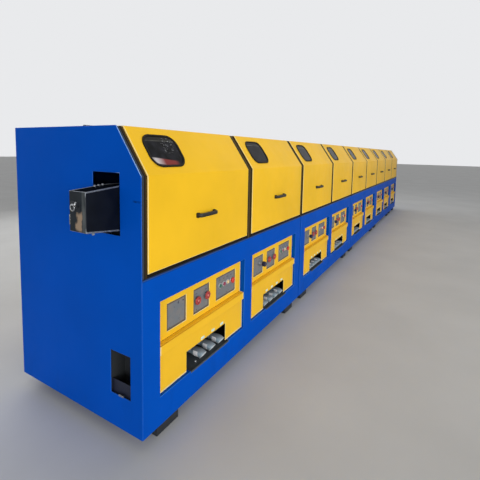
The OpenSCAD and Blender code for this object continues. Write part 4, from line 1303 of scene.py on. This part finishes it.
# Low hatch: the plate behind the opening and the latch on its sill (width, height, thickness
# and corner), and where they are
INNER_PLATE = (0.168, 0.080, 0.002, 0.002)
INNER_PLATE_AT = spot(0.018, 0.161, 0.292)
LATCH = (0.038, 0.009, 0.008, 0.002)
LATCH_AT = spot(0.005, 0.154, 0.267)


def hatch_fittings():
    """Inner plate low behind the end panel's opening, and the latch tongue on the sill."""
    inner = placed(plate(*INNER_PLATE), TO_NEAR_END, INNER_PLATE_AT)
    new_piece("hatch_inner_plate", inner, HATCH_PLATE)
    tongue = placed(plate(*LATCH), TO_NEAR_END, LATCH_AT)
    new_piece("hatch_latch", tongue, BRIGHT_STEEL)


def before_inlet(out, y, z):
    """Place before the outer end of the inlet box."""
    return INLET_END_X - out, FRONT_Y + y, z


# Guide on the inlet box's end, from its wheel to its cheeks, and the nuts and lug of the box
WHEEL_AT = before_inlet(0.0090, 0.207, 1.3180)
RING_AT = before_inlet(0.004, 0.242, 1.300)
STRIP_AT = before_inlet(0, 0.273, 1.240)
HOLDER_AT = before_inlet(0, 0.228, 1.305)
CHEEKS_AT = [before_inlet(0.0110, y, 1.317) for y in (0.1985, 0.213)]
NUTS_AT = [spot(-x, 0.263, 1.395 - 0.083 * x - 0.001) for x in (0.012, 0.036, 0.060)]
LUG_AT = (NEAR_X - 0.158, inlet_low.y, 1.178)


def inlet_fittings():
    """Guide on the inlet box's outer end, with its wheel and wear ring, and nuts along its top."""
    wheel = turned([(0.0040, -0.0050), (0.0110, -0.0050), (0.0125, -0.0042), (0.0125, -0.0020),
                    (0.0105, 0.0), (0.0125, 0.0020), (0.0125, 0.0042), (0.0110, 0.0050),
                    (0.0040, 0.0050)], 28, ring=True)
    pin = turned([(0.0040, -0.0075), (0.0040, 0.0075)], 14)
    ring = turned([(0.0105, 0.0), (0.0185, 0.0), (0.0185, 0.0050), (0.0165, 0.0072),
                   (0.0130, 0.0078), (0.0105, 0.0060)], 32, ring=True)
    parts = [placed(joined([wheel, pin]), TO_BACK, WHEEL_AT), placed(ring, TO_NEAR_END, RING_AT),
             placed(plate(0.006, 0.049, 0.003, 0.001), TO_NEAR_END, STRIP_AT)]
    new_piece("inlet_guide", joined(parts), BRIGHT_STEEL, replaces=["inlet_roller"])
    holder = placed(plate(0.068, 0.050, 0.004, 0.004), TO_NEAR_END, HOLDER_AT)
    cheeks = copies(placed(plate(0.020, 0.026, 0.0025, 0.009), TO_BACK), CHEEKS_AT)
    new_piece("inlet_guide_holder", joined([holder, cheeks]), DARK_STEEL)
    lug = placed(hex_bolt(0.010, 0.006), TO_FRONT, LUG_AT)
    nuts = joined([copies(hex_bolt(0.011, 0.006), NUTS_AT), lug])
    new_piece("inlet_box_nuts", nuts, WORN_STEEL)


hatch_fittings()
inlet_fittings()

# Clamp ring on a drum and the circle of its bolts; the back's cover sheets, and the screws on
# them and on the housing, with how far in from the edges they are
CLAMP_T = 0.006
CLAMP_BOLTS_R = 0.055
COVER_T = 0.0019
SCREW_R = 0.0065
SCREW_H = 0.0010
COVER_INSET = 0.03
HOUSING_INSET = 0.06


def drum_caps():
    """Clamp ring and bolts on top of each drum: six heads on a circle round one larger nut."""
    boxes = solids("drawing_drums")
    top = max(high[2] for _, high in boxes)
    tops = [(*(low + high)[:2] / 2, high[2]) for low, high in boxes if high[2] > top - 0.001]
    t = np.arange(6) * math.pi / 3
    heads = CLAMP_BOLTS_R * np.column_stack([np.cos(t), np.sin(t), np.zeros(6)]) + [0, 0, CLAMP_T]
    clamp = turned([(0.075, 0.0), (0.075, 0.0045), (0.0735, CLAMP_T)], 48)
    nut = placed(hex_bolt(0.036, 0.018), UPRIGHT, (0, 0, CLAMP_T))
    cap = joined([clamp, copies(hex_bolt(0.017, 0.010), heads), nut])
    new_piece("drum_cap_bolts", copies(cap, tops), BRIGHT_STEEL)


def back_covers():
    """Thin cover sheets on the base's back, each with an edge drawn in and its corners rounded."""
    sheets = []
    for low, high in solids("back_covers"):
        sheet = plate(high[0] - low[0], high[2] - low[2], COVER_T, 0.004, 0.0007, 3)
        sheets.append(placed(sheet, TO_BACK, mid_face(low, high, low[1])))
    new_piece("back_cover_sheets", joined(sheets), BLUE, replaces=["back_covers"])


def back_screws():
    """Low domed screws round each back cover, and along the housing above."""
    screw = placed(turned([(SCREW_R, 0.0), *dome(SCREW_R, 0.0003, SCREW_H, 3)], 12), TO_BACK)
    places = []
    for low, high in solids("back_covers"):
        across = np.linspace(low[0] + COVER_INSET, high[0] - COVER_INSET, 5)
        up = np.linspace(low[2] + COVER_INSET, high[2] - COVER_INSET, 4)
        face = low[1] + COVER_T
        places += [(x, face, z) for x in across for z in (up[0], up[-1])]
        places += [(x, face, z) for x in (across[0], across[-1]) for z in up[1:-1]]
    for low, high in solids("back_housing"):
        across = np.linspace(low[0] + HOUSING_INSET, high[0] - HOUSING_INSET, 10)
        places += [(x, high[1], z) for x in across for z in (DECK_Z + 0.04, TOP_Z - HOUSING_INSET)]
    new_piece("back_screws", copies(screw, places), WORN_STEEL)


drum_caps()
back_covers()
back_screws()


# Lamps: name, place, aim, size, power and spread in degrees
LAMPS = (
    ("front_lamp", (-5.2, -8.0, 2.2), (-2.4, 0, 0.9), (12.0, 3.2), 140.0, 90),
    ("near_lamp", (-13.0, -5.6, 2.2), (-4.0, 0, 0.9), (4.5, 3.0), 52.0, 90),
    ("roof_lamp", (0.0, 0.5, 6.5), (0, 0, 0), (12.0, 3.0), 62.0, 180),
    ("back_lamp", (1.5, 7.0, 4.0), (0, 0, 1.0), (12.0, 4.0), 180.0, 120),
)
WORLD_LEVEL = 0.40
FLOOR_REACH = 60.0


def studio():
    """Pale floor, broad lamps, and an even world that is brighter where it is seen or mirrored."""
    floor = bpy.data.meshes.new("floor")
    corners = [(-1, -1), (1, -1), (1, 1), (-1, 1)]
    floor.from_pydata([(FLOOR_REACH * x, FLOOR_REACH * y, 0) for x, y in corners], [], [(0, 1, 2, 3)])
    n = new_finish("pale_floor")
    tone = n.mix(n.patches(1.2, 4.0, 0.3, 0.7), "c9c9c7", "d2d2d0")
    floor.materials.append(n.finished(Base_Color=tone, Roughness=0.7))
    linked("floor", floor)
    n = Nodes(bpy.data.worlds.new("studio"), "Background")
    path = n.node("LightPath", {}).outputs
    seen = n.math("MAXIMUM", path["Is Camera Ray"], path["Is Glossy Ray"])
    seen = n.math("MAXIMUM", seen, path["Is Transmission Ray"])
    SCENE.world = n.finished(Color="e9eaec", Strength=n.ramp(seen, 0.0, 1.0, WORLD_LEVEL, 1.0))
    for name, place, target, size, power, spread in LAMPS:
        light = bpy.data.lights.new(name, "AREA")
        light.shape = "RECTANGLE"
        light.size, light.size_y = size
        light.energy = power
        light.spread = math.radians(spread)
        lamp = linked(name, light)
        lamp.location = place
        lamp.rotation_euler = (Vector(target) - Vector(place)).to_track_quat("-Z", "Y").to_euler()


# Where the picture was taken from, behind and before the machine's near front corner
CAMERA_BACK = 1.2276
CAMERA_OUT = 1.2730
CAMERA_UP = 1.5795
CAMERA_YAW = 1.0441
CAMERA_PITCH = -0.0907
CAMERA_ROLL = 0.0203
PICTURE = 480
FOCAL = 354.22
CENTRE = (241.30, 183.75)
SENSOR = 36.0


def camera():
    """Camera at the picture's eye point: axes from yaw, pitch and roll, lens and shift from pixels."""
    forward = Vector((math.sin(CAMERA_YAW) * math.cos(CAMERA_PITCH),
                      math.cos(CAMERA_YAW) * math.cos(CAMERA_PITCH), math.sin(CAMERA_PITCH)))
    level = Vector((math.cos(CAMERA_YAW), -math.sin(CAMERA_YAW), 0.0))
    upright = level.cross(forward)
    right = level * math.cos(CAMERA_ROLL) + upright * math.sin(CAMERA_ROLL)
    up = upright * math.cos(CAMERA_ROLL) - level * math.sin(CAMERA_ROLL)
    data = bpy.data.cameras.new("camera")
    data.sensor_width = SENSOR
    data.lens = FOCAL / PICTURE * SENSOR
    data.shift_x = (PICTURE / 2 - CENTRE[0]) / PICTURE
    data.shift_y = (CENTRE[1] - PICTURE / 2) / PICTURE
    data.clip_end = 300.0
    eye = linked("camera", data)
    turn = Matrix((right, up, -forward)).transposed().to_4x4()
    place = (NEAR_X - CAMERA_BACK, FRONT_Y - CAMERA_OUT, CAMERA_UP)
    eye.matrix_world = Matrix.Translation(place) @ turn
    SCENE.camera = eye


studio()
camera()
SCENE.view_settings.view_transform = "Standard"
